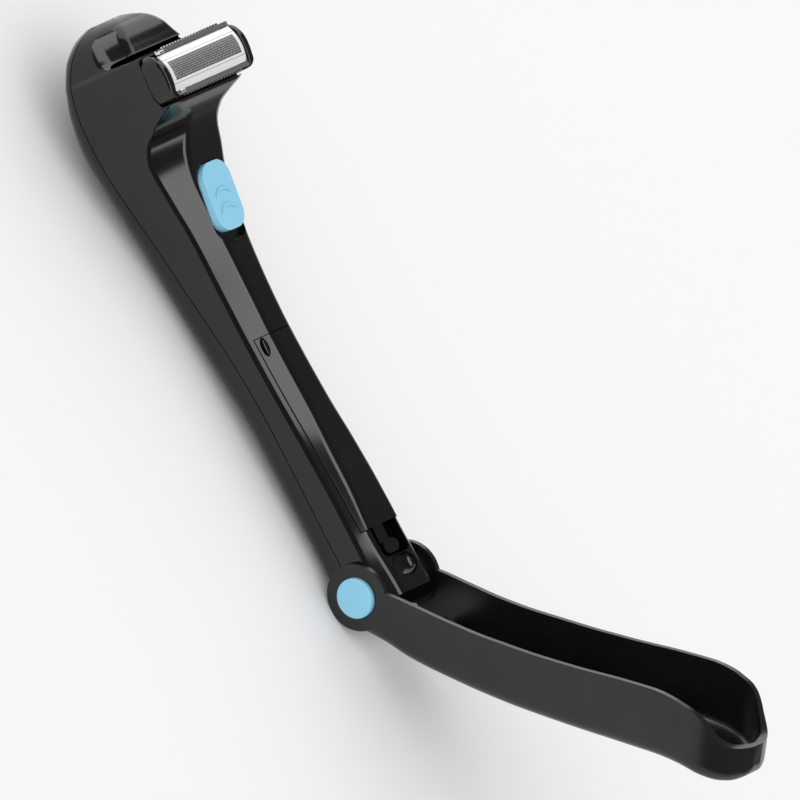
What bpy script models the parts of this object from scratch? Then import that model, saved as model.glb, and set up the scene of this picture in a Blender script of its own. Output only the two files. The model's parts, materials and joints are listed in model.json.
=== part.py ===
"""Folding electric back shaver, lying on its back with the foil up and the handle half folded.

World: +X runs from the head towards the handle, +Y along the hinge axis, +Z up. Two frames carry the pieces.
The body frame has its origin on the hinge axis, x towards the handle side (so a place t along the body is at
x = -t), y along the hinge axis and z out of the front. The handle frame shares that origin: x runs along the
handle and z out of its open side.
"""

import math

import bmesh
import bpy
import numpy as np
from mathutils import Matrix, Vector

# Body
BODY_LENGTH = 0.2076
HEAD_HALF_WIDTH = 0.0260
HEAD_BACK_DEPTH = 0.0267
HEAD_CORNER_RADIUS = 0.0156
SEAT_HEIGHT = 0.0150
SHELL_WALL = 0.0018
SEAM_GAP = 0.0003
SEAM_STEPS = 40
CORNER_RISE_SHARE = 0.96
CORNER_LIMIT_SHARE = 0.48
SIDE_EDGE_RADIUS = 0.0025
FRONT_EDGE_RADIUS = 0.0055

# Hinge
EAR_RADIUS = 0.0114
EAR_WALL = 0.0020
EAR_GAP = 0.0307
HINGE_SIDE_CLEARANCE = 0.00035
NOSE_LIP_REACH = 0.0050
NOSE_ARC_END = math.radians(77)
BUTTON_RADIUS = 0.0069
BUTTON_RISE = 0.0018
BUTTON_CLEARANCE = 0.0003
BUTTON_TRAVEL = 0.0016
COLLAR_WALL = 0.0014
COLLAR_DEPTH = 0.0026
CORE_RADIUS = 0.0076
CORE_WEB = 0.0020
SPINDLE_RADIUS = 0.0044
SPINDLE_TOOTH = 0.0007
TOOTH_COUNT = 12
BUTTON_SPRING_RADIUS = 0.0026
BUTTON_SPRING_WIRE = 0.0003
BUTTON_SPRING_TURNS = 4
BUTTON_SPRING_ROOM = 0.0047

# Handle
HANDLE_LENGTH = 0.1476
HANDLE_REST_ANGLE = math.radians(53.13)
HANDLE_HALF_WIDTH = 0.0203
HANDLE_DEPTH = 0.0200
HANDLE_WALL = 0.0020
HANDLE_CORNER_RADIUS = 0.0050
HANDLE_FLOOR_START = 0.0155

# Battery and its door
CELL_RADIUS = 0.00725
CELL_LENGTH = 0.0495
CELL_NUB_RADIUS = 0.00275
CELL_NUB_HEIGHT = 0.0010
CELL_START = 0.0275
CELL_CLEARANCE = 0.00035
CELL_TILT = math.radians(2.7)
CELL_AXIS_DROP = 0.0022
TRAY_WALL = 0.0014
TRAY_LIP = 0.0016
TRAY_FLOOR = 0.0007
SPRING_LENGTH = 0.0038
CONTACT_SPRING_RADIUS = 0.0031
CONTACT_SPRING_WIRE = 0.00035
CONTACT_SPRING_TURNS = 4
CONTACT_THICKNESS = 0.0005
CONTACT_HALF_WIDTH = 0.0045
DOOR_START = 0.0190
DOOR_END = 0.0912
DOOR_HALF_WIDTH = 0.0109
DOOR_THICKNESS = 0.0018
DOOR_RISE = 0.0005
DOOR_CLEARANCE = 0.0003
LATCH_HALF_WIDTH = 0.0042
LATCH_LENGTH = 0.0102
LATCH_DROP = 0.0022
LATCH_THICKNESS = 0.0012
LATCH_NECK_SHARE = 0.7
LATCH_PAD_LENGTH = 0.0046
LATCH_PAD_SINK = 0.0003
LATCH_PAD_RADIUS = 0.0022
POCKET_START = 0.0078
POCKET_HALF_WIDTH = 0.0078
POCKET_DEPTH = 0.0056
POCKET_WALL = 0.0014
SCOOP_CENTRE = 0.0038
SCOOP_HALF_LENGTH = 0.0044
SCOOP_HALF_WIDTH = 0.0066
SCOOP_DEPTH = 0.0030
NOTCH_HALF_LENGTH = 0.0034
NOTCH_HALF_WIDTH = 0.0018
NOTCH_DEPTH = 0.0011

# Switch
SWITCH_LENGTH = 0.0236
SWITCH_CENTRE = 0.1395
SWITCH_HALF_WIDTH = 0.0081
SWITCH_RISE = 0.0012
SWITCH_TRAVEL = 0.0037
SWITCH_CLEARANCE = 0.0004
SWITCH_CORNER_RADIUS = 0.0046
SWITCH_EDGE_RADIUS = 0.0008
SWITCH_RECESS_DEPTH = 0.0022
SWITCH_STEM_LENGTH = 0.0040
SWITCH_STEM_WIDTH = 0.0030
SWITCH_STEM_HEIGHT = 0.0072
GRIP_ARC_RADIUS = 0.0042
GRIP_ARC_WIRE = 0.0005
GRIP_ARC_SPACING = 0.0062
GRIP_ARC_HALF_ANGLE = math.radians(50)
GRIP_ARC_STEPS = 8
BOARD_THICKNESS = 0.0012
BOARD_LENGTH = 0.0240
BOARD_WIDTH = 0.0130
POST_RADIUS = 0.0015
POST_SHARE = 0.4

# Drive
MOTOR_RADIUS = 0.0100
MOTOR_LENGTH = 0.0170
MOTOR_CAP_RADIUS = 0.0080
MOTOR_CAP_LENGTH = 0.0024
MOTOR_TOP = 0.0008
MOTOR_EDGE_RADIUS = 0.0006
SHAFT_RADIUS = 0.0010
SHAFT_DEPTH = 0.0055
CAM_BASE = 0.0055
CAM_RADIUS = 0.0035
CAM_LENGTH = 0.0026
CAM_WEB = 0.0007
PIN_RADIUS = 0.0010
PIN_LENGTH = 0.0032
STROKE = 0.0009
YOKE_THICKNESS = 0.0020
YOKE_LENGTH = 0.0090
YOKE_WIDTH = 0.0120
STEM_LENGTH = 0.0040
STEM_WIDTH = 0.0070
ARM_RISE = 0.0029
ARM_THICKNESS = 0.0011
ARM_WIDTH = 0.0030
ARM_REACH = 0.00615
ARM_POST_LENGTH = 0.0007
ARM_POST_RISE = 0.0053
RUNNING_GAP = 0.0003
BRACKET_THICKNESS = 0.0014
BRACKET_LENGTH = 0.0108
SEAT_HOLE_LENGTH = 0.0120
SEAT_HOLE_WIDTH = 0.0300

# Cassette
HEAD_CENTRE = 0.1825
CASSETTE_HALF_LENGTH = 0.0088
SEAT_OVERHANG = 0.0012
CASSETTE_PLATE_HEIGHT = 0.0084
PLATE_EDGE_RADIUS = 0.0012
CASSETTE_CORNER_RADIUS = 0.0055
CASSETTE_PLATE = 0.0036
CASSETTE_BASE = 0.0018
CASSETTE_TILT = math.radians(5.5)
CASSETTE_SKIRT_HEIGHT = 0.0044
CASSETTE_SKIRT_LEAN = 0.0005
CASSETTE_SKIRT = 0.0010
FOIL_RADIUS = 0.0135
FOIL_THICKNESS = 0.0003
FOIL_HALF_ANGLE = math.radians(29.0)
FOIL_CREST = 0.0079
COMB_HALF_LENGTH = 0.0177
COMB_RISE = 0.0062
COMB_INSET = 0.0068
COMB_THICKNESS = 0.0005
COMB_DEPTH = 0.0015
COMB_TOOTH_COUNT = 20
COMB_TOOTH_LENGTH = 0.0006
BLADE_RISE = 0.0049
BLADE_THICKNESS = 0.0006
BLADE_INSET = 0.0057
BLADE_DEPTH = 0.0023
BLADE_NOTCH = 0.0009
WINDOW_HALF_WIDTH = 0.0200
CUTTER_RADIAL_DEPTH = 0.0020
CUTTER_GROOVE_COUNT = 11
CUTTER_GROOVE_DEPTH = 0.0012
GROOVE_SHARE = 0.35
LEG_SHARE = 0.8
YOKE_STEP_SHARE = 0.1
CUTTER_HALF_ANGLE = math.radians(23.5)
CUTTER_HALF_LENGTH = 0.0190
CLIP_RADIUS = 0.0005
CLIP_LENGTH = 0.0030

# Fasteners and wires
SCREW_HEAD_RADIUS = 0.0026
SCREW_HEAD_LENGTH = 0.0014
SCREW_SHANK_RADIUS = 0.0011
SCREW_SHANK_LENGTH = 0.0060
SCREW_BOSS_RADIUS = 0.0028
SCREW_SEAT_RADIUS = 0.0038
SCREW_SEAT_HEIGHT = 0.0052
SCREW_CLEARANCE = 0.0003
SCREW_SINK = 0.0012
BOSS_SINK_SHARE = 0.7
WIRE_RADIUS = 0.0006

# A cut runs this far past what it cuts
OVERRUN = 0.0020

# Edges sharper than this are shaded sharp
SHARP_ANGLE = math.radians(32)

BLACK_PLASTIC = ("black_plastic", (0.012, 0.012, 0.013), 0.22, 0.0)
BLUE_PLASTIC = ("blue_plastic", (0.27, 0.72, 0.93), 0.30, 0.0)
CHROME = ("chrome", (0.80, 0.80, 0.82), 0.12, 1.0)
STEEL = ("steel", (0.55, 0.55, 0.57), 0.28, 1.0)
BRASS = ("brass", (0.70, 0.52, 0.22), 0.30, 1.0)
GREY_PLASTIC = ("grey_plastic", (0.20, 0.20, 0.21), 0.45, 0.0)
CELL_GREEN = ("cell_sleeve", (0.05, 0.22, 0.12), 0.35, 0.0)
BOARD_GREEN = ("board", (0.03, 0.16, 0.07), 0.50, 0.0)
RED_SLEEVE = ("red_sleeve", (0.45, 0.02, 0.02), 0.45, 0.0)

# Body sections from the hinge end to the head end. Each row has the place along the body as a share of
# BODY_LENGTH, the back as a share of HEAD_BACK_DEPTH, the seam as a share of it too, the widest half width
# and the half width at the front edge of the side panel as shares of HEAD_HALF_WIDTH, the height of that edge
# and of the front face as shares of SEAT_HEIGHT, the half width of the front face as a share of
# HEAD_HALF_WIDTH, and the back corner's reach across as a share of HEAD_CORNER_RADIUS.
BODY_SECTION_SHARES = (
    (-0.0600, 0.412, -0.010, 0.577, 0.546, 0.510, 0.860, 0.331, 0.38),
    (0.0000, 0.419, -0.045, 0.577, 0.543, 0.467, 0.793, 0.335, 0.38),
    (0.0890, 0.445, -0.105, 0.567, 0.531, 0.393, 0.653, 0.343, 0.38),
    (0.1530, 0.499, -0.134, 0.563, 0.523, 0.330, 0.644, 0.309, 0.45),
    (0.2310, 0.549, -0.169, 0.557, 0.515, 0.224, 0.570, 0.277, 0.47),
    (0.3120, 0.606, -0.206, 0.557, 0.508, 0.110, 0.470, 0.226, 0.51),
    (0.3900, 0.699, -0.270, 0.561, 0.510, 0.004, 0.377, 0.218, 0.55),
    (0.4710, 0.804, -0.371, 0.573, 0.515, -0.076, 0.310, 0.216, 0.61),
    (0.5660, 0.917, -0.498, 0.608, 0.546, -0.123, 0.284, 0.238, 0.70),
    (0.6300, 0.955, -0.554, 0.662, 0.600, -0.116, 0.284, 0.277, 0.76),
    (0.6940, 0.970, -0.592, 0.769, 0.708, -0.103, 0.324, 0.335, 0.83),
    (0.7558, 0.969, -0.607, 0.892, 0.800, -0.080, 0.533, 0.400, 0.90),
    (0.7890, 0.994, -0.614, 0.938, 0.808, 0.107, 0.747, 0.354, 0.94),
    (0.8092, 0.999, -0.614, 0.962, 0.831, 0.427, 0.973, 0.377, 0.96),
    (0.8237, 0.999, -0.614, 0.973, 0.858, 0.840, 1.153, 0.577, 0.97),
    (0.8348, 0.990, -0.610, 0.981, 0.896, 1.153, 1.307, 0.750, 0.99),
    (0.8574, 0.953, -0.603, 1.000, 0.996, 1.260, 1.307, 0.969, 1.00),
    (0.8815, 0.912, -0.588, 1.000, 0.996, 1.260, 1.307, 0.969, 1.00),
    (0.9191, 0.816, -0.547, 0.969, 0.965, 1.260, 1.307, 0.942, 0.97),
    (0.9268, 0.800, -0.536, 0.954, 0.892, 0.027, 0.533, 0.654, 0.96),
    (0.9441, 0.751, -0.487, 0.915, 0.838, -0.093, 0.427, 0.546, 0.92),
    (0.9629, 0.701, -0.431, 0.846, 0.754, -0.173, 0.347, 0.500, 0.86),
    (0.9798, 0.611, -0.367, 0.723, 0.631, -0.240, 0.233, 0.408, 0.74),
    (0.9918, 0.560, -0.330, 0.554, 0.462, -0.320, 0.047, 0.308, 0.58),
    (1.0000, 0.472, -0.300, 0.331, 0.277, -0.413, -0.227, 0.131, 0.32),
)
SECTION_NAMES = ("back", "seam", "side", "lip", "edge", "front", "flat", "corner")

# Handle sections from the hinge to the end: place as a share of HANDLE_LENGTH, outer half width as a share of
# HANDLE_HALF_WIDTH, and floor underside and rim as shares of HANDLE_DEPTH, both from the hinge axis.
HANDLE_SECTION_SHARES = (
    (0.0000, 0.855, 0.570, 0.230),
    (0.0718, 0.852, 0.660, 0.223),
    (0.1558, 0.852, 0.820, 0.160),
    (0.2439, 0.862, 0.910, 0.090),
    (0.3388, 0.897, 0.970, 0.053),
    (0.4472, 0.936, 1.005, 0.050),
    (0.5759, 0.966, 1.012, 0.077),
    (0.7114, 0.990, 1.002, 0.138),
    (0.7927, 1.000, 0.997, 0.155),
    (0.8401, 1.000, 1.015, 0.110),
    (0.8672, 0.985, 1.047, 0.050),
    (0.8909, 0.966, 1.090, -0.015),
    (0.9112, 0.925, 1.140, -0.115),
    (0.9282, 0.870, 1.175, -0.255),
    (0.9417, 0.810, 1.200, -0.400),
    (0.9553, 0.731, 1.215, -0.500),
    (0.9688, 0.629, 1.215, -0.570),
    (0.9824, 0.486, 1.185, -0.605),
    (0.9919, 0.336, 1.130, -0.615),
    (0.9973, 0.196, 1.065, -0.620),
    (1.0000, 0.118, 0.980, -0.620),
)

# End plate's outline, side on: along as a share of CASSETTE_HALF_LENGTH, hinge side positive, and up as a
# share of CASSETTE_PLATE_HEIGHT.
PLATE_OUTLINE_SHARES = (
    (1.0, 0.0),
    (1.0, 0.40),
    (0.975, 0.68),
    (0.90, 0.83),
    (0.74, 0.905),
    (0.50, 0.955),
    (0.24, 0.99),
    (0.0, 1.0),
    (-0.22, 0.98),
    (-0.44, 0.905),
    (-0.63, 0.79),
    (-0.79, 0.64),
    (-0.90, 0.46),
    (-0.97, 0.24),
    (-1.0, 0.0),
)

# Screws through the rear shell: place along the body as a share of its length, and across as a share of
# HEAD_HALF_WIDTH.
SCREW_PLACE_SHARES = ((0.475, 0.0), (0.735, 0.45), (0.735, -0.45))

# How far along the body, in wall thicknesses, the hollow follows the outer shape late or early, so that the
# steps before and behind the cassette keep a full wall: place as a share of BODY_LENGTH, then the shift.
HOLLOW_SHIFT_SHARES = (
    (0.0, 0.0),
    (0.70, 0.0),
    (0.76, -1.0),
    (0.84, -1.0),
    (0.88, 0.0),
    (0.91, 1.0),
    (1.0, 1.0),
)


def hermite(stations, values, at):
    """Smooth curve through hand-set values that never overshoots between two of them."""
    steps = np.diff(stations)
    slopes = np.diff(values) / steps
    tangents = np.concatenate([slopes[:1], np.zeros(len(slopes) - 1), slopes[-1:]])
    for i in range(1, len(slopes)):
        if slopes[i - 1] * slopes[i] > 0:
            before = 2 * steps[i] + steps[i - 1]
            after = steps[i] + 2 * steps[i - 1]
            tangents[i] = (before + after) / (before / slopes[i - 1] + after / slopes[i])
    i = int(np.clip(np.searchsorted(stations, at) - 1, 0, len(steps) - 1))
    share = (at - stations[i]) / steps[i]
    start = (1 + 2 * share) * (1 - share) ** 2 * values[i] + share * (1 - share) ** 2 * steps[i] * tangents[i]
    end = share**2 * (3 - 2 * share) * values[i + 1] + share**2 * (share - 1) * steps[i] * tangents[i + 1]
    return start + end


BODY_SCALES = (
    HEAD_BACK_DEPTH,
    HEAD_BACK_DEPTH,
    HEAD_HALF_WIDTH,
    HEAD_HALF_WIDTH,
    SEAT_HEIGHT,
    SEAT_HEIGHT,
    HEAD_HALF_WIDTH,
    HEAD_CORNER_RADIUS,
)
FOIL_CENTRE_RISE = FOIL_CREST - FOIL_RADIUS

BODY_TABLE = np.array(BODY_SECTION_SHARES)
BODY_STATIONS = BODY_TABLE[:, 0] * BODY_LENGTH


def body_section(place):
    """The named sizes of the body's section at this distance from the hinge axis."""
    found = {}
    for column, (name, scale) in enumerate(zip(SECTION_NAMES, BODY_SCALES), start=1):
        found[name] = hermite(BODY_STATIONS, BODY_TABLE[:, column] * scale, place)
    fit = (EAR_GAP / 2 - HINGE_SIDE_CLEARANCE) - hermite(BODY_STATIONS, BODY_TABLE[:, 3] * HEAD_HALF_WIDTH, 0)
    near_hinge = max(0.0, 1 - max(place, 0) / DOOR_END)
    found["side"] += fit * near_hinge
    found["lip"] += fit * near_hinge
    return found


def front_height(place):
    return body_section(place)["front"]


def shoulder_height(section, y):
    """Height of the sloping shoulder beside the front face, this far from the middle."""
    share = (y - section["flat"]) / (section["lip"] - section["flat"])
    return section["front"] + max(share, 0) * (section["edge"] - section["front"])


def rounded(corners, steps):
    """A polyline whose inner corners (y, z, radius) are arcs, each limited by the sides beside it."""
    points = [corners[0][:2]]
    for before, corner, after in zip(corners, corners[1:], corners[2:]):
        here = Vector(corner[:2])
        if corner[2] <= 0:
            points.append(tuple(here))
            continue
        to_before = Vector(before[:2]) - here
        to_after = Vector(after[:2]) - here
        turn = to_before.angle(to_after)
        reach = corner[2] / math.tan(turn / 2)
        reach = min(reach, to_before.length * CORNER_LIMIT_SHARE, to_after.length * CORNER_LIMIT_SHARE)
        radius = reach * math.tan(turn / 2)
        bisector = (to_before.normalized() + to_after.normalized()).normalized()
        centre = here + bisector * (radius / math.sin(turn / 2))
        first = here + to_before.normalized() * reach - centre
        last = here + to_after.normalized() * reach - centre
        sweep = first.angle_signed(last)
        for step in range(steps + 1):
            spoke = first.copy()
            spoke.rotate(Matrix.Rotation(-sweep * step / steps, 2))
            points.append(tuple(centre + spoke))
    points.append(corners[-1][:2])
    return points


def body_ring(place, inset, steps):
    """Closed outline (y, z) of the body at this place, drawn in by inset."""
    section = body_section(place)
    back = -section["back"] + inset
    side = section["side"] - inset
    lip = section["lip"] - inset
    front = section["front"] - inset
    flat = section["flat"] - inset / 2
    edge = section["edge"] - inset
    across = section["corner"] - inset
    up = min(across, (section["seam"] - back) * CORNER_RISE_SHARE)
    turns = [math.pi * step / (4 * steps) for step in range(2 * steps + 1)]
    corner = [(side - across + across * math.sin(turn), back + up - up * math.cos(turn)) for turn in turns]
    upper = rounded(
        (
            (side, section["seam"], 0),
            (lip, edge, SIDE_EDGE_RADIUS),
            (flat, front, FRONT_EDGE_RADIUS),
            (0, front, 0),
        ),
        steps,
    )[:-1]
    half = corner + upper
    return half + [(-y, z) for y, z in reversed(half)]


def handle_section(place):
    """Outer half width, floor underside and rim height of the handle at this place along it."""
    table = np.array(HANDLE_SECTION_SHARES)
    stations = table[:, 0] * HANDLE_LENGTH
    scales = (HANDLE_HALF_WIDTH, -HANDLE_DEPTH, HANDLE_DEPTH)
    half_width, underside, rim = (
        hermite(stations, table[:, column] * scale, place) for column, scale in enumerate(scales, start=1)
    )
    fit = EAR_GAP / 2 + EAR_WALL - table[0, 1] * HANDLE_HALF_WIDTH
    return half_width + fit * max(0.0, 1 - place / HANDLE_FLOOR_START), underside, rim


def handle_ring(place, inset, top):
    """Closed outline (y, z) of the handle; inset and top make the hollow's outline from the outer one."""
    half_width, underside, rim = handle_section(place)
    half = rounded(
        (
            (0, underside + inset, 0),
            (half_width - inset, underside + inset, HANDLE_CORNER_RADIUS - inset),
            (half_width - inset, rim + top, 0),
        ),
        5,
    )[1:]
    return half + [(-y, z) for y, z in reversed(half)]


def collection(name, hidden=False):
    made = bpy.data.collections.new(name)
    made.hide_render = hidden
    bpy.context.scene.collection.children.link(made)
    return made


def clear_scene():
    for obj in list(bpy.data.objects):
        bpy.data.objects.remove(obj, do_unlink=True)


clear_scene()
PARTS = collection("electric_back_shaver")
CUTTERS = collection("cutters", hidden=True)


def material(finish):
    """The Principled material of a named finish, made once."""
    name, color, roughness, metallic = finish
    found = bpy.data.materials.get(name)
    if found:
        return found
    found = bpy.data.materials.new(name)
    found.use_nodes = True
    shader = found.node_tree.nodes["Principled BSDF"]
    shader.inputs["Base Color"].default_value = (*color, 1.0)
    shader.inputs["Roughness"].default_value = roughness
    shader.inputs["Metallic"].default_value = metallic
    return found


def frame(name, parent=None, location=(0, 0, 0), turn=0.0):
    """An empty that carries pieces, turned about the hinge axis's direction."""
    made = bpy.data.objects.new(name, None)
    PARTS.objects.link(made)
    made.parent = parent
    made.location = location
    made.rotation_euler = (0, turn, 0)
    return made


BODY = frame("body_frame")
HANDLE = frame("handle_pivot", BODY, turn=-HANDLE_REST_ANGLE)
HEAD = frame("head_datum", BODY, location=(-HEAD_CENTRE, 0, SEAT_HEIGHT))
CREST = frame("crest_datum", HEAD, turn=-CASSETTE_TILT)
DRIVE = frame("drive_axis", BODY, location=(-HEAD_CENTRE, 0, 0))
CELL = frame("cell_axis", BODY, location=(-CELL_START, 0, -CELL_AXIS_DROP), turn=-CELL_TILT)


def place_object(name, data, parent, finish, location=(0, 0, 0), rotation=(0, 0, 0)):
    """A part when it has a finish, and otherwise a cutter."""
    made = bpy.data.objects.new(name, data)
    (PARTS if finish else CUTTERS).objects.link(made)
    made.parent = parent
    made.location = location
    made.rotation_euler = rotation
    if finish:
        data.materials.append(material(finish))
    else:
        made.hide_render = True
        made.display_type = "WIRE"
    return made


def mesh_object(name, shape, parent, finish, location=(0, 0, 0), rotation=(0, 0, 0)):
    bmesh.ops.recalc_face_normals(shape, faces=shape.faces[:])
    mesh = bpy.data.meshes.new(name)
    shape.to_mesh(mesh)
    shape.free()
    return place_object(name, mesh, parent, finish, location, rotation)


def loft(name, places, ring_at, parent, finish):
    """Closed solid through the outlines (y, z) that ring_at gives at these values of x."""
    shape = bmesh.new()
    rings = [[shape.verts.new((x, y, z)) for y, z in ring_at(x)] for x in places]
    for first, second in zip(rings, rings[1:]):
        for i in range(len(first)):
            j = (i + 1) % len(first)
            shape.faces.new((first[i], first[j], second[j], second[i]))
    shape.faces.new(rings[0])
    shape.faces.new(rings[-1])
    bmesh.ops.triangulate(shape, faces=shape.faces[:])
    return mesh_object(name, shape, parent, finish)


def box(name, size, centre, parent, finish=None, rotation=(0, 0, 0)):
    shape = bmesh.new()
    bmesh.ops.create_cube(shape, size=1, matrix=Matrix.Diagonal((*size, 1)))
    return mesh_object(name, shape, parent, finish, centre, rotation)


ALONG_X = (0, math.pi / 2, 0)
ALONG_Y = (math.pi / 2, 0, 0)
ALONG_Z = (0, 0, 0)
TOWARDS_HEAD = (0, -math.pi / 2, 0)


def cylinder(name, radius, length, centre, axis, parent, finish=None, sides=32):
    shape = bmesh.new()
    bmesh.ops.create_cone(shape, cap_ends=True, segments=sides, radius1=radius, radius2=radius, depth=length)
    return mesh_object(name, shape, parent, finish, centre, axis)


def turned(name, profile, location, rotation, parent, finish, sides=32):
    """A profile of (radius, height) points, top to bottom, turned about its own Z."""
    mesh = bpy.data.meshes.new(name)
    edges = [(i, i + 1) for i in range(len(profile) - 1)]
    mesh.from_pydata([(radius, 0, height) for radius, height in profile], edges, [])
    made = place_object(name, mesh, parent, finish, location, rotation)
    screw = made.modifiers.new("turn", "SCREW")
    screw.steps = sides
    screw.render_steps = sides
    screw.use_merge_vertices = True
    screw.merge_threshold = OVERRUN / 1000
    return made


def outline_solid(name, outline, thickness, parent, finish=None, location=(0, 0, 0), rotation=ALONG_Y):
    """A flat outline with a thickness. Left as it stands, its plane is the frame's x and z."""
    curve = bpy.data.curves.new(name, "CURVE")
    curve.dimensions = "2D"
    curve.fill_mode = "BOTH"
    curve.extrude = thickness / 2
    spline = curve.splines.new("POLY")
    spline.points.add(len(outline) - 1)
    for point, (x, z) in zip(spline.points, outline):
        point.co = (x, z, 0, 1)
    spline.use_cyclic_u = True
    drawn = bpy.data.objects.new(name + "_outline", curve)
    bpy.context.scene.collection.objects.link(drawn)
    graph = bpy.context.evaluated_depsgraph_get()
    mesh = bpy.data.meshes.new_from_object(drawn.evaluated_get(graph))
    bpy.data.objects.remove(drawn)
    shape = bmesh.new()
    shape.from_mesh(mesh)
    bmesh.ops.remove_doubles(shape, verts=shape.verts[:], dist=OVERRUN / 1000)
    return mesh_object(name, shape, parent, finish, location, rotation)


def tube(name, points, radius, parent, finish, resolution=1):
    """A wire through these points, with closed ends."""
    curve = bpy.data.curves.new(name, "CURVE")
    curve.dimensions = "3D"
    curve.bevel_depth = radius
    curve.bevel_resolution = resolution
    curve.use_fill_caps = True
    spline = curve.splines.new("POLY")
    spline.points.add(len(points) - 1)
    for point, at in zip(spline.points, points):
        point.co = (*at, 1)
    return place_object(name, curve, parent, finish)


def coil_points(start, end, radius, turns):
    """Points of a coil about the straight line from start to end, ten to a turn."""
    start = Vector(start)
    along = Vector(end) - start
    first = along.orthogonal().normalized()
    second = along.cross(first).normalized()
    count = 10 * turns
    points = []
    for i in range(count + 1):
        angle = 2 * math.pi * turns * i / count
        spoke = (first * math.cos(angle) + second * math.sin(angle)) * radius
        points.append(tuple(start + along * i / count + spoke))
    return points


def combine(target, other, operation="DIFFERENCE"):
    step = target.modifiers.new(other.name, "BOOLEAN")
    step.object = other
    step.operation = operation
    step.solver = "EXACT"


def soften(target, width, segments=2):
    edge = target.modifiers.new("rounded_edges", "BEVEL")
    edge.width = width
    edge.segments = segments
    edge.limit_method = "ANGLE"


def body_places():
    """Distances from the hinge axis at which the body has a section, closer where it swells."""
    return sorted([*BODY_STATIONS, *((BODY_STATIONS[:11] + BODY_STATIONS[1:12]) / 2)])


def nose_outline(radius, lip_reach, height, far):
    """Side view of the body that is kept: square front lip, then round about the hinge axis."""
    lip_angle = math.acos(lip_reach / radius)
    arc = [lip_angle - (lip_angle + NOSE_ARC_END) * i / 12 for i in range(13)]
    points = [(-far, height), (lip_reach, height)]
    points += [(radius * math.cos(angle), radius * math.sin(angle)) for angle in arc]
    return points + [(0, -radius - RUNNING_GAP), (-radius, -height), (-far, -height)]


def seam_outline(shift, depth):
    """Side view of everything below the seam, moved by shift."""
    places = np.linspace(-2 * EAR_RADIUS, BODY_LENGTH + EAR_RADIUS, SEAM_STEPS)
    seams = [body_section(np.clip(place, BODY_STATIONS[0], BODY_LENGTH))["seam"] for place in places]
    line = [(-place, seam + shift) for place, seam in zip(places, seams)]
    return line + [(line[-1][0], -depth), (line[0][0], -depth)]


def body_block(name, inset, steps, finish=None):
    """The body's outer solid, or with an inset the solid of its hollow."""
    fine = np.linspace(BODY_STATIONS[0], BODY_LENGTH, 400)
    shift = inset * np.interp(fine / BODY_LENGTH, *zip(*HOLLOW_SHIFT_SHARES))
    last = BODY_LENGTH - EAR_RADIUS / 2 if inset else BODY_LENGTH
    places = [place for place in np.interp(body_places(), fine + shift, fine) if place < last]
    places.append(last)

    def ring_at(x):
        return body_ring(np.interp(-x, fine, fine + shift), inset, steps)

    return loft(name, [-place for place in places], ring_at, BODY, finish)


def casing():
    """Rear and front shells: one hollow body, cut at the seam, with its knuckle rounded about the hinge."""
    height = 2 * HEAD_BACK_DEPTH
    far = 2 * BODY_LENGTH
    width = 4 * HEAD_HALF_WIDTH
    knuckle = body_section(0)["back"]
    nose = outline_solid("nose_keep", nose_outline(knuckle, NOSE_LIP_REACH, height, far), width, BODY)
    hollow_reach = knuckle - SHELL_WALL
    hollow_keep = outline_solid(
        "hollow_keep", nose_outline(hollow_reach, NOSE_LIP_REACH - SHELL_WALL, height, far), width, BODY
    )
    hollow = body_block("hollow", SHELL_WALL, 2)
    combine(hollow, hollow_keep, "INTERSECT")
    combine(hollow, seat_room("seat_block", SHELL_WALL))
    combine(hollow, pocket_block())
    combine(hollow, switch_block())
    shells = []
    for name, shift, operation in (
        ("rear_shell", -SEAM_GAP / 2, "INTERSECT"),
        ("front_shell", SEAM_GAP / 2, "DIFFERENCE"),
    ):
        shell = body_block(name, 0, 3, BLACK_PLASTIC)
        seam = outline_solid(name + "_seam", seam_outline(shift, height), width, BODY)
        combine(shell, seam, operation)
        combine(shell, nose, "INTERSECT")
        combine(shell, hollow)
        combine(shell, seat_room(name + "_seat", 0))
        shells.append(shell)
    return shells


def seat_room(name, wall):
    """Everything above the cassette's seat, from the ridge before it to the drop behind it, grown by wall."""
    near = HEAD_CENTRE - CASSETTE_HALF_LENGTH - RUNNING_GAP - wall
    far = HEAD_CENTRE + CASSETTE_HALF_LENGTH + SEAT_OVERHANG + wall
    height = 2 * SEAT_HEIGHT
    centre = (-(near + far) / 2, 0, SEAT_HEIGHT - wall + height / 2)
    return box(name, (far - near, 4 * HEAD_HALF_WIDTH, height), centre, BODY)


def core_half_length():
    return EAR_GAP / 2 - COLLAR_DEPTH - 2 * RUNNING_GAP - HINGE_SIDE_CLEARANCE


def hinge_bore_cutters(shells):
    """The round counterbores that take the ears' collars, and the bore across the knuckle for the core."""
    room_length = EAR_GAP - 2 * COLLAR_DEPTH
    room = cylinder("core_room", CORE_RADIUS + RUNNING_GAP, room_length, (0, 0, 0), ALONG_Y, BODY)
    for shell in shells:
        combine(shell, room)
    bore = BUTTON_RADIUS + BUTTON_CLEARANCE + COLLAR_WALL + RUNNING_GAP
    depth = COLLAR_DEPTH + RUNNING_GAP
    for side, sign in (("left", -1), ("right", 1)):
        centre = (0, sign * (EAR_GAP / 2 + OVERRUN / 2 - depth / 2), 0)
        cutter = cylinder("bore_" + side, bore, depth + OVERRUN, centre, ALONG_Y, BODY)
        for shell in shells:
            combine(shell, cutter)


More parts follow.
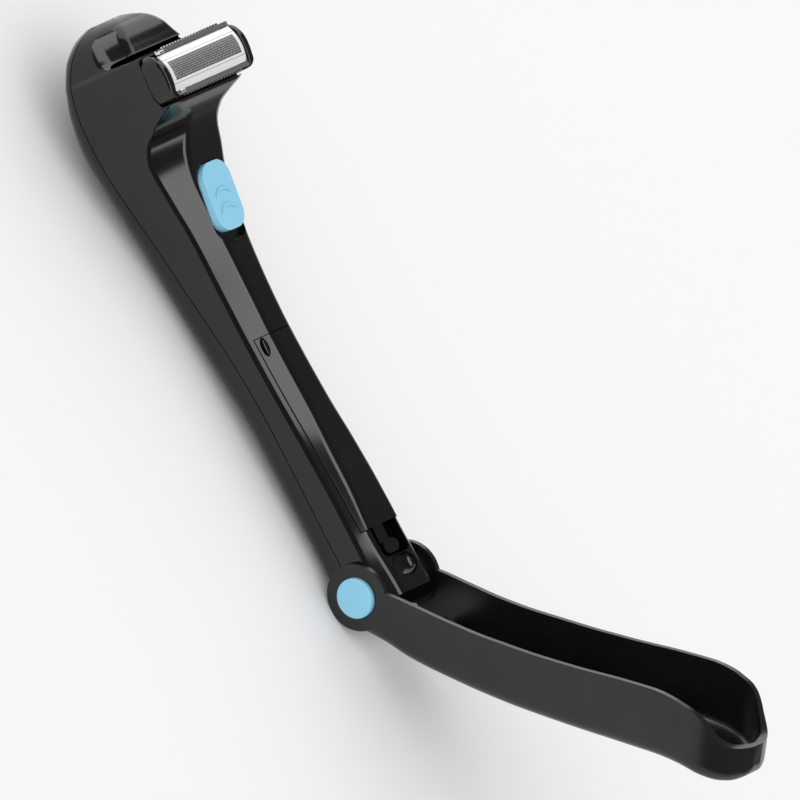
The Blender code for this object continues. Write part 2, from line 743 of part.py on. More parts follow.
def pocket_block():
    """What stays solid round the latch pocket and the finger scoop."""
    front = front_height(POCKET_START)
    scoop_floor = front - SCOOP_DEPTH - POCKET_WALL
    pocket_floor = front - POCKET_DEPTH - POCKET_WALL
    core_top = CORE_RADIUS + RUNNING_GAP
    outline = (
        (EAR_RADIUS, core_top),
        (-SCOOP_CENTRE / 2, core_top),
        (-SCOOP_CENTRE, scoop_floor),
        (-POCKET_START, pocket_floor),
        (-DOOR_START - SHELL_WALL, pocket_floor),
        (-DOOR_START - SHELL_WALL, 2 * SEAT_HEIGHT),
        (EAR_RADIUS, 2 * SEAT_HEIGHT),
    )
    return outline_solid("pocket_block", outline, 2 * (POCKET_HALF_WIDTH + POCKET_WALL), BODY)


def switch_slope():
    """Angle by which the front face rises along the switch, towards the head."""
    low = front_height(SWITCH_CENTRE - SWITCH_LENGTH / 2)
    high = front_height(SWITCH_CENTRE + SWITCH_LENGTH / 2)
    return math.atan2(high - low, SWITCH_LENGTH)


def switch_middle():
    ends = (SWITCH_CENTRE - SWITCH_LENGTH / 2, SWITCH_CENTRE + SWITCH_LENGTH / 2)
    return Vector((-SWITCH_CENTRE, 0, sum(front_height(end) for end in ends) / 2))


def on_switch(along, out):
    """A place in the body frame from one along the switch's slope and out of it."""
    slope = switch_slope()
    middle = switch_middle()
    return (
        middle.x + along * math.cos(slope) + out * math.sin(slope),
        0,
        middle.z - along * math.sin(slope) + out * math.cos(slope),
    )


def board_out():
    """Height of the switch board's middle out of the front face: clear below the switch's stem."""
    stem_foot = -SWITCH_RECESS_DEPTH - RUNNING_GAP - SWITCH_STEM_HEIGHT / 2
    return stem_foot - RUNNING_GAP - BOARD_THICKNESS / 2


def switch_block():
    """What stays solid round the switch's recess."""
    length = SWITCH_LENGTH + SWITCH_TRAVEL + 4 * SHELL_WALL
    height = 2 * SEAT_HEIGHT
    centre = on_switch(SWITCH_TRAVEL / 2, height / 2 - SWITCH_RECESS_DEPTH - POCKET_WALL)
    size = (length, 2 * (SWITCH_HALF_WIDTH + SHELL_WALL), height)
    return box("switch_block", size, centre, BODY, rotation=(0, switch_slope(), 0))


def rounded_rectangle(half_length, half_width, radius, steps=5):
    points = []
    for x_sign, y_sign, start in ((1, 1, 0), (-1, 1, 90), (-1, -1, 180), (1, -1, 270)):
        centre = Vector((x_sign * (half_length - radius), y_sign * (half_width - radius)))
        for step in range(steps + 1):
            angle = math.radians(start + 90 * step / steps)
            points.append(tuple(centre + radius * Vector((math.cos(angle), math.sin(angle)))))
    return points


def hollow_scoop(name, half_sizes, centre):
    """An egg-shaped cutter in the body frame."""
    shape = bmesh.new()
    scale = Matrix.Diagonal((*half_sizes, 1))
    bmesh.ops.create_uvsphere(shape, u_segments=24, v_segments=14, radius=1, matrix=scale)
    return mesh_object(name, shape, BODY, None, centre)


def open_front(front_shell):
    """Battery opening, latch pocket, finger scoop, switch recess and the cutter's hole in the seat."""
    length = DOOR_END - DOOR_START + 2 * DOOR_CLEARANCE
    middle = (DOOR_END + DOOR_START) / 2
    low = shoulder_height(body_section(DOOR_END), DOOR_HALF_WIDTH) - DOOR_THICKNESS - RUNNING_GAP
    tall = 2 * SEAT_HEIGHT
    size = (length, 2 * (DOOR_HALF_WIDTH + DOOR_CLEARANCE), tall)
    combine(front_shell, box("door_opening", size, (-middle, 0, low + tall / 2), BODY))

    floor = front_height(POCKET_START) - POCKET_DEPTH
    size = (DOOR_START - POCKET_START + OVERRUN, 2 * POCKET_HALF_WIDTH, tall)
    centre = (-(DOOR_START + OVERRUN + POCKET_START) / 2, 0, floor + tall / 2)
    combine(front_shell, box("latch_pocket", size, centre, BODY))

    size = (SCOOP_HALF_LENGTH, SCOOP_HALF_WIDTH, SCOOP_DEPTH)
    centre = (-SCOOP_CENTRE, 0, front_height(SCOOP_CENTRE))
    combine(front_shell, hollow_scoop("finger_scoop", size, centre))

    half_length = (SWITCH_LENGTH + SWITCH_TRAVEL) / 2 + SWITCH_CLEARANCE
    outline = rounded_rectangle(half_length, SWITCH_HALF_WIDTH + SWITCH_CLEARANCE, SWITCH_CORNER_RADIUS)
    turn = (0, switch_slope(), 0)
    centre = on_switch(SWITCH_TRAVEL / 2, tall / 2 - SWITCH_RECESS_DEPTH)
    combine(front_shell, outline_solid("switch_recess", outline, tall, BODY, None, centre, turn))
    slot_width = SWITCH_STEM_WIDTH + 2 * SWITCH_CLEARANCE
    size = (SWITCH_STEM_LENGTH + SWITCH_TRAVEL + 2 * SWITCH_CLEARANCE, slot_width, 4 * SHELL_WALL)
    centre = on_switch(SWITCH_TRAVEL / 2, -SWITCH_RECESS_DEPTH)
    combine(front_shell, box("switch_slot", size, centre, BODY, rotation=turn))

    size = (SEAT_HOLE_LENGTH, SEAT_HOLE_WIDTH, 4 * SHELL_WALL)
    combine(front_shell, box("seat_hole", size, (-HEAD_CENTRE, 0, SEAT_HEIGHT), BODY))


def screw_fixings(rear_shell, front_shell):
    """Casing screws, their sunk seats in the rear shell and their bosses in the front shell."""
    for number, (along, across) in enumerate(SCREW_PLACE_SHARES, start=1):
        place = along * BODY_LENGTH
        y = across * HEAD_HALF_WIDTH
        section = body_section(place)
        back = -section["back"]
        middle_seat = back + SHELL_WALL / 2 + SCREW_SEAT_HEIGHT / 2
        seat_top = middle_seat + SCREW_SEAT_HEIGHT / 2
        head_floor = back + SCREW_SINK + SCREW_HEAD_LENGTH + SCREW_CLEARANCE
        centre = (-place, y, middle_seat)
        seat = cylinder("seat_%d" % number, SCREW_SEAT_RADIUS, SCREW_SEAT_HEIGHT, centre, ALONG_Z, BODY)
        combine(rear_shell, seat, "UNION")
        sink_radius = SCREW_HEAD_RADIUS + SCREW_CLEARANCE
        sink_length = head_floor - back + OVERRUN
        centre = (-place, y, head_floor - sink_length / 2)
        combine(rear_shell, cylinder("sink_%d" % number, sink_radius, sink_length, centre, ALONG_Z, BODY))
        hole_length = 4 * SCREW_SHANK_LENGTH
        hole_radius = SCREW_SHANK_RADIUS + SCREW_CLEARANCE
        boss_foot = seat_top + SCREW_CLEARANCE
        boss_top = shoulder_height(section, abs(y)) - SHELL_WALL * BOSS_SINK_SHARE
        boss_middle = (boss_foot + boss_top) / 2
        boss_length = boss_top - boss_foot
        centre = (-place, y, boss_middle)
        boss = cylinder("boss_%d" % number, SCREW_BOSS_RADIUS, boss_length, centre, ALONG_Z, BODY, sides=20)
        combine(front_shell, boss, "UNION")
        shank_end = head_floor - SCREW_CLEARANCE + SCREW_SHANK_LENGTH
        hole_top = shank_end + SCREW_CLEARANCE
        centre = (-place, y, hole_top - hole_length / 2)
        hole = cylinder("hole_%d" % number, hole_radius, hole_length, centre, ALONG_Z, BODY, sides=20)
        combine(rear_shell, hole)
        combine(front_shell, hole)
        profile = (
            (0, SCREW_SHANK_LENGTH),
            (SCREW_SHANK_RADIUS, SCREW_SHANK_LENGTH),
            (SCREW_SHANK_RADIUS, 0),
            (SCREW_HEAD_RADIUS, 0),
            (SCREW_HEAD_RADIUS, -SCREW_HEAD_LENGTH),
            (0, -SCREW_HEAD_LENGTH),
        )
        location = (-place, y, head_floor - SCREW_CLEARANCE)
        turned("casing_screw_%d" % number, profile, location, ALONG_Z, BODY, STEEL, sides=20)


def door_rise(place):
    return DOOR_RISE * (DOOR_END - place) / (DOOR_END - DOOR_START)


def door_ring(x):
    """Outline (y, z) of the battery door: the body's front face and shoulders, with one thickness."""
    section = body_section(-x)
    rise = door_rise(-x)
    rim = shoulder_height(section, DOOR_HALF_WIDTH) + rise
    top = section["front"] + rise
    corners = ((DOOR_HALF_WIDTH, rim, 0), (section["flat"], top, FRONT_EDGE_RADIUS), (0, top, 0))
    half = rounded(corners, 3)[:-1]
    outer = half + [(-y, z) for y, z in reversed(half)]
    return outer + [(y, z - DOOR_THICKNESS) for y, z in reversed(outer)]


def latch(door):
    """A neck under the door's end, joined to it by a riser, with a raised pad at its tip."""
    front = front_height(DOOR_START)
    neck_middle = front - LATCH_DROP - LATCH_THICKNESS / 2
    neck_width = 2 * LATCH_HALF_WIDTH * LATCH_NECK_SHARE
    neck_length = LATCH_LENGTH - LATCH_PAD_LENGTH / 2 + OVERRUN
    centre = (-DOOR_START - OVERRUN + neck_length / 2, 0, neck_middle)
    combine(door, box("latch_neck", (neck_length, neck_width, LATCH_THICKNESS), centre, BODY), "UNION")
    riser_height = LATCH_DROP + LATCH_THICKNESS / 2
    centre = (-DOOR_START - OVERRUN / 2, 0, neck_middle + riser_height / 2)
    combine(door, box("latch_riser", (OVERRUN / 2, LATCH_HALF_WIDTH, riser_height), centre, BODY), "UNION")
    outline = rounded_rectangle(LATCH_PAD_LENGTH / 2, LATCH_HALF_WIDTH, LATCH_PAD_RADIUS)
    pad_height = LATCH_DROP + LATCH_THICKNESS - LATCH_PAD_SINK + RUNNING_GAP
    centre = (-DOOR_START + LATCH_LENGTH - LATCH_PAD_LENGTH / 2, 0, front - LATCH_PAD_SINK - pad_height / 2)
    pad = outline_solid("latch_pad", outline, pad_height, BODY, None, centre, ALONG_Z)
    soften(pad, LATCH_THICKNESS / 4)
    combine(door, pad, "UNION")


def battery_door():
    """Door with its latch tongue, hooked at its head end where it pivots."""
    places = [DOOR_START, *(p for p in body_places() if DOOR_START < p < DOOR_END), DOOR_END]
    door = loft("battery_door", [-place for place in places], door_ring, BODY, BLACK_PLASTIC)
    latch(door)
    notch_place = DOOR_END - NOTCH_HALF_LENGTH
    notch_y = -DOOR_HALF_WIDTH + NOTCH_HALF_WIDTH
    notch_z = shoulder_height(body_section(notch_place), -notch_y) + door_rise(notch_place)
    size = (NOTCH_HALF_LENGTH, NOTCH_HALF_WIDTH, NOTCH_DEPTH)
    combine(door, hollow_scoop("nail_notch", size, (-notch_place, notch_y, notch_z)))
    return door


def switch_slider():
    height = SWITCH_RISE + SWITCH_RECESS_DEPTH - RUNNING_GAP
    outline = rounded_rectangle(SWITCH_LENGTH / 2, SWITCH_HALF_WIDTH, SWITCH_CORNER_RADIUS)
    turn = (0, switch_slope(), 0)
    slider = outline_solid(
        "switch_slider", outline, height, BODY, BLUE_PLASTIC, on_switch(0, SWITCH_RISE - height / 2), turn
    )
    soften(slider, SWITCH_EDGE_RADIUS, 3)
    size = (SWITCH_STEM_LENGTH, SWITCH_STEM_WIDTH, SWITCH_STEM_HEIGHT)
    foot = on_switch(0, -SWITCH_RECESS_DEPTH - RUNNING_GAP)
    combine(slider, box("switch_stem", size, foot, BODY, rotation=turn), "UNION")
    for number, along in enumerate((-GRIP_ARC_SPACING / 2, GRIP_ARC_SPACING / 2), start=1):
        arc = []
        for step in range(GRIP_ARC_STEPS + 1):
            angle = math.pi / 2 + GRIP_ARC_HALF_ANGLE * (2 * step / GRIP_ARC_STEPS - 1)
            arc.append((-GRIP_ARC_RADIUS * math.sin(angle), GRIP_ARC_RADIUS * math.cos(angle)))
        inner = [(x + 2 * GRIP_ARC_WIRE, y) for x, y in reversed(arc)]
        centre = on_switch(along + GRIP_ARC_RADIUS, SWITCH_RISE)
        ridge = outline_solid("grip_ridge_%d" % number, arc + inner, GRIP_ARC_WIRE, BODY, None, centre, turn)
        combine(slider, ridge, "UNION")
    size = (BOARD_LENGTH, BOARD_WIDTH, BOARD_THICKNESS)
    box("switch_board", size, on_switch(0, board_out()), BODY, BOARD_GREEN, turn)
    return slider


def handle():
    """Channel with two round ears, open between them, and a short collar inside each ear."""
    stations = [row[0] * HANDLE_LENGTH for row in HANDLE_SECTION_SHARES]
    between = [(a + b) / 2 for a, b in zip(stations, stations[1:]) if b - a > 2 * EAR_WALL]
    channel = loft(
        "handle_channel", sorted(stations + between), lambda x: handle_ring(x, 0, 0), HANDLE, BLACK_PLASTIC
    )
    width = EAR_GAP + 2 * EAR_WALL
    combine(channel, cylinder("ears", EAR_RADIUS, width, (0, 0, 0), ALONG_Y, HANDLE, sides=48), "UNION")
    end = HANDLE_LENGTH - HANDLE_WALL
    inside = [place for place in sorted(stations + between) if place < end - HANDLE_WALL]
    hollow_places = [HANDLE_FLOOR_START, *(place for place in inside if place > HANDLE_FLOOR_START), end]

    def hollow_ring(x):
        ahead = x + HANDLE_WALL * (x / HANDLE_LENGTH) ** 8
        return handle_ring(min(ahead, HANDLE_LENGTH), HANDLE_WALL, HANDLE_DEPTH)

    combine(channel, loft("channel_hollow", hollow_places, hollow_ring, HANDLE, None))
    size = (HANDLE_FLOOR_START + EAR_RADIUS + OVERRUN, EAR_GAP, 4 * EAR_RADIUS)
    centre = (HANDLE_FLOOR_START - size[0] / 2 + OVERRUN / 4, 0, 0)
    combine(channel, box("ear_gap", size, centre, HANDLE))
    bore = BUTTON_RADIUS + BUTTON_CLEARANCE
    for side, sign in (("left", -1), ("right", 1)):
        collar_length = COLLAR_DEPTH + EAR_WALL / 2
        centre = (0, sign * (EAR_GAP / 2 - COLLAR_DEPTH + collar_length / 2), 0)
        collar = cylinder("collar_" + side, bore + COLLAR_WALL, collar_length, centre, ALONG_Y, HANDLE)
        combine(channel, collar, "UNION")
    through = cylinder("button_bore", bore, width + 2 * OVERRUN, (0, 0, 0), ALONG_Y, HANDLE)
    combine(channel, through)
    return channel


def toothed_outline(radius, tooth, count):
    """Round outline with straight-sided teeth standing out of it."""
    points = []
    for i in range(count):
        for share, reach in ((0.0, 0), (0.2, tooth), (0.5, tooth), (0.7, 0)):
            angle = 2 * math.pi * (i + share) / count
            points.append(((radius + reach) * math.cos(angle), (radius + reach) * math.sin(angle)))
    return points


def hinge_lock():
    """Push buttons with toothed spindles, the core with its two sockets, and a spring behind each button."""
    core_half = core_half_length()
    core = cylinder("hinge_core", CORE_RADIUS, 2 * core_half, (0, 0, 0), ALONG_Y, BODY, STEEL)
    outer_face = EAR_GAP / 2 + EAR_WALL
    spindle_inner = CORE_WEB / 2 + BUTTON_SPRING_ROOM
    for side, sign in (("left", -1), ("right", 1)):
        socket_length = core_half - CORE_WEB / 2 + OVERRUN
        socket_radius = SPINDLE_RADIUS + SPINDLE_TOOTH + BUTTON_CLEARANCE
        socket_centre = (0, sign * (CORE_WEB / 2 + socket_length / 2), 0)
        combine(core, cylinder("socket_" + side, socket_radius, socket_length, socket_centre, ALONG_Y, BODY))
        cap_inner = core_half + BUTTON_TRAVEL + RUNNING_GAP
        cap_length = outer_face + BUTTON_RISE - cap_inner
        centre = (0, sign * (cap_inner + cap_length / 2), 0)
        name = "hinge_button_" + side
        button = cylinder(name, BUTTON_RADIUS, cap_length, centre, ALONG_Y, HANDLE, BLUE_PLASTIC, sides=40)
        soften(button, BUTTON_RISE / 3)
        spindle_length = cap_inner + cap_length / 2 - spindle_inner
        spindle = outline_solid(
            "spindle_" + side,
            toothed_outline(SPINDLE_RADIUS, SPINDLE_TOOTH, TOOTH_COUNT),
            spindle_length,
            HANDLE,
            None,
            (0, sign * (spindle_inner + spindle_length / 2), 0),
            (math.pi / 2, HANDLE_REST_ANGLE, 0),
        )
        combine(button, spindle, "UNION")
        spring_start = CORE_WEB / 2 + BUTTON_SPRING_WIRE + RUNNING_GAP
        spring_end = spindle_inner - BUTTON_TRAVEL - BUTTON_SPRING_WIRE - RUNNING_GAP
        start = (0, sign * spring_start, 0)
        points = coil_points(start, (0, sign * spring_end, 0), BUTTON_SPRING_RADIUS, BUTTON_SPRING_TURNS)
        tube("button_spring_" + side, points, BUTTON_SPRING_WIRE, BODY, STEEL, resolution=0)


def board_posts(front_shell):
    """Two short posts under the switch recess that carry the switch board."""
    top = -SWITCH_RECESS_DEPTH - POCKET_WALL / 2
    foot = board_out() + BOARD_THICKNESS / 2 + RUNNING_GAP
    for name, along in (("post_low", BOARD_LENGTH * POST_SHARE), ("post_high", -BOARD_LENGTH * POST_SHARE)):
        centre = on_switch(along, (top + foot) / 2)
        turn = (0, switch_slope(), 0)
        post = cylinder(name, POST_RADIUS, top - foot, centre, turn, BODY, sides=16)
        combine(front_shell, post, "UNION")


def battery():
    """Tray, cell and the contacts at its two ends, all on the cell's axis, which falls towards the head."""
    bore = CELL_RADIUS + CELL_CLEARANCE
    front = SPRING_LENGTH + CONTACT_THICKNESS + 2 * RUNNING_GAP
    behind = CELL_LENGTH + CELL_NUB_HEIGHT + CONTACT_THICKNESS + 2 * RUNNING_GAP
    length = front + behind
    centre_x = (front - behind) / 2
    height = bore + TRAY_FLOOR + TRAY_LIP
    size = (length + 2 * TRAY_WALL, 2 * (bore + TRAY_WALL), height)
    tray = box("battery_tray", size, (centre_x, 0, TRAY_LIP - height / 2), CELL, GREY_PLASTIC)
    combine(tray, cylinder("cell_bore", bore, length, (centre_x, 0, 0), ALONG_X, CELL, sides=36))
    profile = (
        (0, CELL_LENGTH + CELL_NUB_HEIGHT),
        (CELL_NUB_RADIUS, CELL_LENGTH + CELL_NUB_HEIGHT),
        (CELL_NUB_RADIUS, CELL_LENGTH),
        (CELL_RADIUS - CELL_CLEARANCE, CELL_LENGTH),
        (CELL_RADIUS, CELL_LENGTH - CELL_CLEARANCE),
        (CELL_RADIUS, CELL_CLEARANCE),
        (CELL_RADIUS - CELL_CLEARANCE, 0),
        (0, 0),
    )
    turned("battery_cell", profile, (0, 0, 0), TOWARDS_HEAD, CELL, CELL_GREEN)
    near = CONTACT_SPRING_WIRE + RUNNING_GAP
    far = SPRING_LENGTH - near
    points = coil_points((near, 0, 0), (far, 0, 0), CONTACT_SPRING_RADIUS, CONTACT_SPRING_TURNS)
    tube("battery_spring", points, CONTACT_SPRING_WIRE, CELL, STEEL, resolution=0)
    size = (CONTACT_THICKNESS, 2 * CONTACT_HALF_WIDTH, 2 * CONTACT_HALF_WIDTH)
    spring_plate_x = SPRING_LENGTH + RUNNING_GAP / 2 + CONTACT_THICKNESS / 2
    box("spring_plate", size, (spring_plate_x, 0, 0), CELL, STEEL)
    plate_x = -CELL_LENGTH - CELL_NUB_HEIGHT - RUNNING_GAP - CONTACT_THICKNESS / 2
    box("battery_contact", size, (plate_x, 0, 0), CELL, BRASS)


def motor():
    """Motor can with its end cap, the bracket that holds it, and the shaft with its eccentric."""
    base = MOTOR_TOP - MOTOR_LENGTH
    can_centre = (0, 0, (MOTOR_TOP + base) / 2)
    can = cylinder("motor_can", MOTOR_RADIUS, MOTOR_LENGTH, can_centre, ALONG_Z, DRIVE, STEEL, sides=40)
    soften(can, MOTOR_EDGE_RADIUS)
    bore_length = SHAFT_DEPTH + RUNNING_GAP + OVERRUN
    bore = cylinder(
        "shaft_bore",
        SHAFT_RADIUS + RUNNING_GAP,
        bore_length,
        (0, 0, MOTOR_TOP + OVERRUN - bore_length / 2),
        ALONG_Z,
        DRIVE,
        sides=20,
    )
    combine(can, bore)
    cap_centre = (0, 0, base - RUNNING_GAP - MOTOR_CAP_LENGTH / 2)
    radius = MOTOR_CAP_RADIUS
    cap = cylinder("motor_end_cap", radius, MOTOR_CAP_LENGTH, cap_centre, ALONG_Z, DRIVE, GREY_PLASTIC)
    soften(cap, MOTOR_EDGE_RADIUS)
    bracket_z = MOTOR_TOP + RUNNING_GAP + BRACKET_THICKNESS / 2
    size = (BRACKET_LENGTH, 2 * (HEAD_HALF_WIDTH - SHELL_WALL - 4 * RUNNING_GAP), BRACKET_THICKNESS)
    bracket = box("motor_bracket", size, (0, 0, bracket_z), DRIVE, STEEL)
    combine(bracket, cylinder("bracket_hole", CAM_RADIUS, 2 * OVERRUN, (0, 0, bracket_z), ALONG_Z, DRIVE))
    shaft_top = CAM_BASE + CAM_LENGTH - CAM_WEB - RUNNING_GAP
    shaft_length = shaft_top - (MOTOR_TOP - SHAFT_DEPTH)
    centre = (0, 0, shaft_top - shaft_length / 2)
    cylinder("motor_shaft", SHAFT_RADIUS, shaft_length, centre, ALONG_Z, DRIVE, STEEL, sides=20)
    cam_centre = (0, 0, CAM_BASE + CAM_LENGTH / 2)
    cam = cylinder("eccentric_cam", CAM_RADIUS, CAM_LENGTH, cam_centre, ALONG_Z, DRIVE, BRASS)
    pin_length = PIN_LENGTH + CAM_WEB / 2
    pin_centre = (STROKE, 0, CAM_BASE + CAM_LENGTH - CAM_WEB / 2 + pin_length / 2)
    combine(cam, cylinder("cam_pin", PIN_RADIUS, pin_length, pin_centre, ALONG_Z, DRIVE, sides=20), "UNION")
    hole_length = CAM_LENGTH - CAM_WEB + OVERRUN
    hole_centre = (0, 0, CAM_BASE - OVERRUN + hole_length / 2)
    radius = SHAFT_RADIUS + RUNNING_GAP / 2
    combine(cam, cylinder("cam_hole", radius, hole_length, hole_centre, ALONG_Z, DRIVE, sides=20))


def cutting_drive():
    """Slotted yoke on the eccentric's pin, its stem up into the cassette, and the inner cutter block."""
    base = CAM_BASE + CAM_LENGTH + 2 * RUNNING_GAP
    size = (YOKE_LENGTH, YOKE_WIDTH, YOKE_THICKNESS)
    yoke = box("drive_yoke", size, (0, 0, base + YOKE_THICKNESS / 2), DRIVE, GREY_PLASTIC)
    pin_room = 2 * (PIN_RADIUS + STROKE + RUNNING_GAP)
    slot_width = pin_room + 2 * STROKE
    combine(yoke, box("yoke_slot", (pin_room, slot_width, 2 * OVERRUN), (0, 0, base), DRIVE))
    roof_base = CAM_BASE + CAM_LENGTH + PIN_LENGTH + RUNNING_GAP
    leg_height = roof_base - base
    leg = (YOKE_WIDTH - slot_width) / 2 * LEG_SHARE
    # each bar of the yoke stands a small step in from the faces of the bar that it grows out of
    step = YOKE_THICKNESS * YOKE_STEP_SHARE / 2
    for name, sign in (("yoke_leg_left", -1), ("yoke_leg_right", 1)):
        centre = (0, sign * ((YOKE_WIDTH - leg) / 2 - step), base + (YOKE_THICKNESS + leg_height) / 2)
        combine(yoke, box(name, (STEM_LENGTH, leg, leg_height), centre, DRIVE), "UNION")
    arm_base = SEAT_HEIGHT + ARM_RISE
    roof = box("yoke_roof", size, (0, 0, roof_base + YOKE_THICKNESS / 2), DRIVE)
    combine(yoke, roof, "UNION")
    stem_base = roof_base + YOKE_THICKNESS / 2
    stem_height = arm_base + ARM_THICKNESS / 2 - stem_base
    centre = (0, 0, stem_base + stem_height / 2)
    combine(yoke, box("yoke_stem", (STEM_LENGTH, STEM_WIDTH, stem_height), centre, DRIVE), "UNION")
    size = (2 * ARM_REACH, ARM_WIDTH, ARM_THICKNESS)
    combine(yoke, box("yoke_arms", size, (0, 0, ARM_RISE + ARM_THICKNESS / 2), CREST), "UNION")
    for name, sign in (("arm_post_low", 1), ("arm_post_high", -1)):
        post_base = ARM_RISE + ARM_THICKNESS / 2
        post_height = ARM_POST_RISE - post_base
        centre = (sign * (ARM_REACH - step - ARM_POST_LENGTH / 2), 0, post_base + post_height / 2)
        size = (ARM_POST_LENGTH, ARM_WIDTH - 2 * step, post_height)
        combine(yoke, box(name, size, centre, CREST), "UNION")

    outer = FOIL_RADIUS - FOIL_THICKNESS - RUNNING_GAP
    inner = outer - CUTTER_RADIAL_DEPTH
    outline = sector(outer, inner, CUTTER_HALF_ANGLE, FOIL_CENTRE_RISE, 12)
    cutter = outline_solid("cutter_block", outline, 2 * CUTTER_HALF_LENGTH, CREST, STEEL)
    pitch = 2 * CUTTER_HALF_LENGTH / (CUTTER_GROOVE_COUNT + 1)
    ring = sector(outer + OVERRUN, outer - CUTTER_GROOVE_DEPTH, CUTTER_HALF_ANGLE * 2, FOIL_CENTRE_RISE, 16)
    for i in range(CUTTER_GROOVE_COUNT):
        y = -CUTTER_HALF_LENGTH + (i + 1) * pitch
        groove = outline_solid("groove_%02d" % i, ring, pitch * GROOVE_SHARE, CREST, None, (0, y, 0))
        combine(cutter, groove)


def sector(outer, inner, half_angle, rise, steps):
    """Outline (x, z) of part of a ring, its middle at the top."""
    angles = [half_angle * (2 * i / steps - 1) for i in range(steps + 1)]
    points = [(outer * math.sin(angle), rise + outer * math.cos(angle)) for angle in angles]
    return points + [(inner * math.sin(angle), rise + inner * math.cos(angle)) for angle in reversed(angles)]


def end_plate_outline():
    """Side view of an end plate: just clear of the seat, round above, higher on the hinge side."""
    return [
        (along * CASSETTE_HALF_LENGTH, SEAM_GAP + up * (CASSETTE_PLATE_HEIGHT - SEAM_GAP))
        for along, up in PLATE_OUTLINE_SHARES
    ]


def cassette():
    """Frame with two end plates, the foil over it, a toothed comb along each side and small clips."""
    inner_y = HEAD_HALF_WIDTH - CASSETTE_PLATE
    lean = math.tan(CASSETTE_TILT) * CASSETTE_HALF_LENGTH
    top = CASSETTE_HALF_LENGTH - CASSETTE_SKIRT_LEAN
    outline = [
        (-CASSETTE_HALF_LENGTH, SEAM_GAP),
        (CASSETTE_HALF_LENGTH, SEAM_GAP),
        (top, CASSETTE_SKIRT_HEIGHT + lean),
        (top - CASSETTE_SKIRT, CASSETTE_SKIRT_HEIGHT + lean),
        (CASSETTE_HALF_LENGTH - CASSETTE_SKIRT, CASSETTE_BASE),
        (-CASSETTE_HALF_LENGTH + CASSETTE_SKIRT, CASSETTE_BASE),
        (-top + CASSETTE_SKIRT, CASSETTE_SKIRT_HEIGHT - lean),
        (-top, CASSETTE_SKIRT_HEIGHT - lean),
    ]
    body = outline_solid("cassette_frame", outline, 2 * inner_y + CASSETTE_PLATE, HEAD, BLACK_PLASTIC)
    for side, sign in (("left", -1), ("right", 1)):
        centre = (0, sign * (HEAD_HALF_WIDTH - CASSETTE_PLATE / 2), 0)
        plate = outline_solid("end_plate_" + side, end_plate_outline(), CASSETTE_PLATE, HEAD, None, centre)
        soften(plate, PLATE_EDGE_RADIUS)
        combine(body, plate, "UNION")
    plan = rounded_rectangle(CASSETTE_HALF_LENGTH, HEAD_HALF_WIDTH, CASSETTE_CORNER_RADIUS)
    keep = outline_solid("cassette_plan", plan, 4 * CASSETTE_PLATE_HEIGHT, HEAD, None, (0, 0, 0), ALONG_Z)
    combine(body, keep, "INTERSECT")
    window_half = ARM_REACH + 3 * RUNNING_GAP
    size = (2 * window_half, 2 * WINDOW_HALF_WIDTH, 2 * OVERRUN)
    combine(body, box("cassette_window", size, (0, 0, CASSETTE_BASE / 2), HEAD))

    foil_length = 2 * (inner_y - RUNNING_GAP)
    outline = sector(FOIL_RADIUS, FOIL_RADIUS - FOIL_THICKNESS, FOIL_HALF_ANGLE, FOIL_CENTRE_RISE, 24)
    outline_solid("shaving_foil", outline, foil_length, CREST, CHROME)
    flat = (0, 0, 0)
    for name, sign in (("lower_comb", 1), ("upper_comb", -1)):
        teeth = comb_outline(sign, COMB_INSET, COMB_DEPTH, foil_length / 2)
        centre = (0, 0, COMB_RISE + COMB_THICKNESS / 2)
        outline_solid(name, teeth, COMB_THICKNESS, CREST, CHROME, centre, flat)
    for name, sign in (("lower_trimmer_blade", 1), ("upper_trimmer_blade", -1)):
        teeth = comb_outline(sign, BLADE_INSET, BLADE_DEPTH, COMB_HALF_LENGTH + COMB_TOOTH_LENGTH)
        centre = (0, 0, BLADE_RISE + BLADE_THICKNESS / 2)
        blade = outline_solid(name, teeth, BLADE_THICKNESS, CREST, STEEL, centre, flat)
        notch_width = ARM_WIDTH + 2 * RUNNING_GAP
        notch_x = sign * (BLADE_INSET + BLADE_NOTCH - OVERRUN)
        notch = box(name + "_notch", (2 * OVERRUN, notch_width, 2 * OVERRUN), (notch_x, 0, BLADE_RISE), CREST)
        combine(blade, notch)
    clip_x = COMB_INSET + CLIP_RADIUS
    clip_z = COMB_RISE + COMB_THICKNESS + RUNNING_GAP + CLIP_RADIUS
    for name, sign in (("foil_clip_lower", 1), ("foil_clip_upper", -1)):
        centre = (sign * clip_x, -foil_length / 2 + CLIP_LENGTH / 2, clip_z)
        cylinder(name, CLIP_RADIUS, CLIP_LENGTH, centre, ALONG_Y, CREST, CHROME, sides=16)


def comb_outline(sign, inset, depth, half_length):
    """Outline (x, y) of a strip with teeth along its outer side, mirrored in x by sign."""
    pitch = 2 * COMB_HALF_LENGTH / COMB_TOOTH_COUNT
    edge = inset + depth
    reach = edge + COMB_TOOTH_LENGTH
    points = [(inset, half_length), (inset, -half_length), (edge, -half_length)]
    for i in range(COMB_TOOTH_COUNT):
        start = -COMB_HALF_LENGTH + i * pitch
        points += [(edge, start), (reach, start), (reach, start + pitch / 2), (edge, start + pitch / 2)]
    points.append((edge, half_length))
    return [(sign * x, y) for x, y in points]


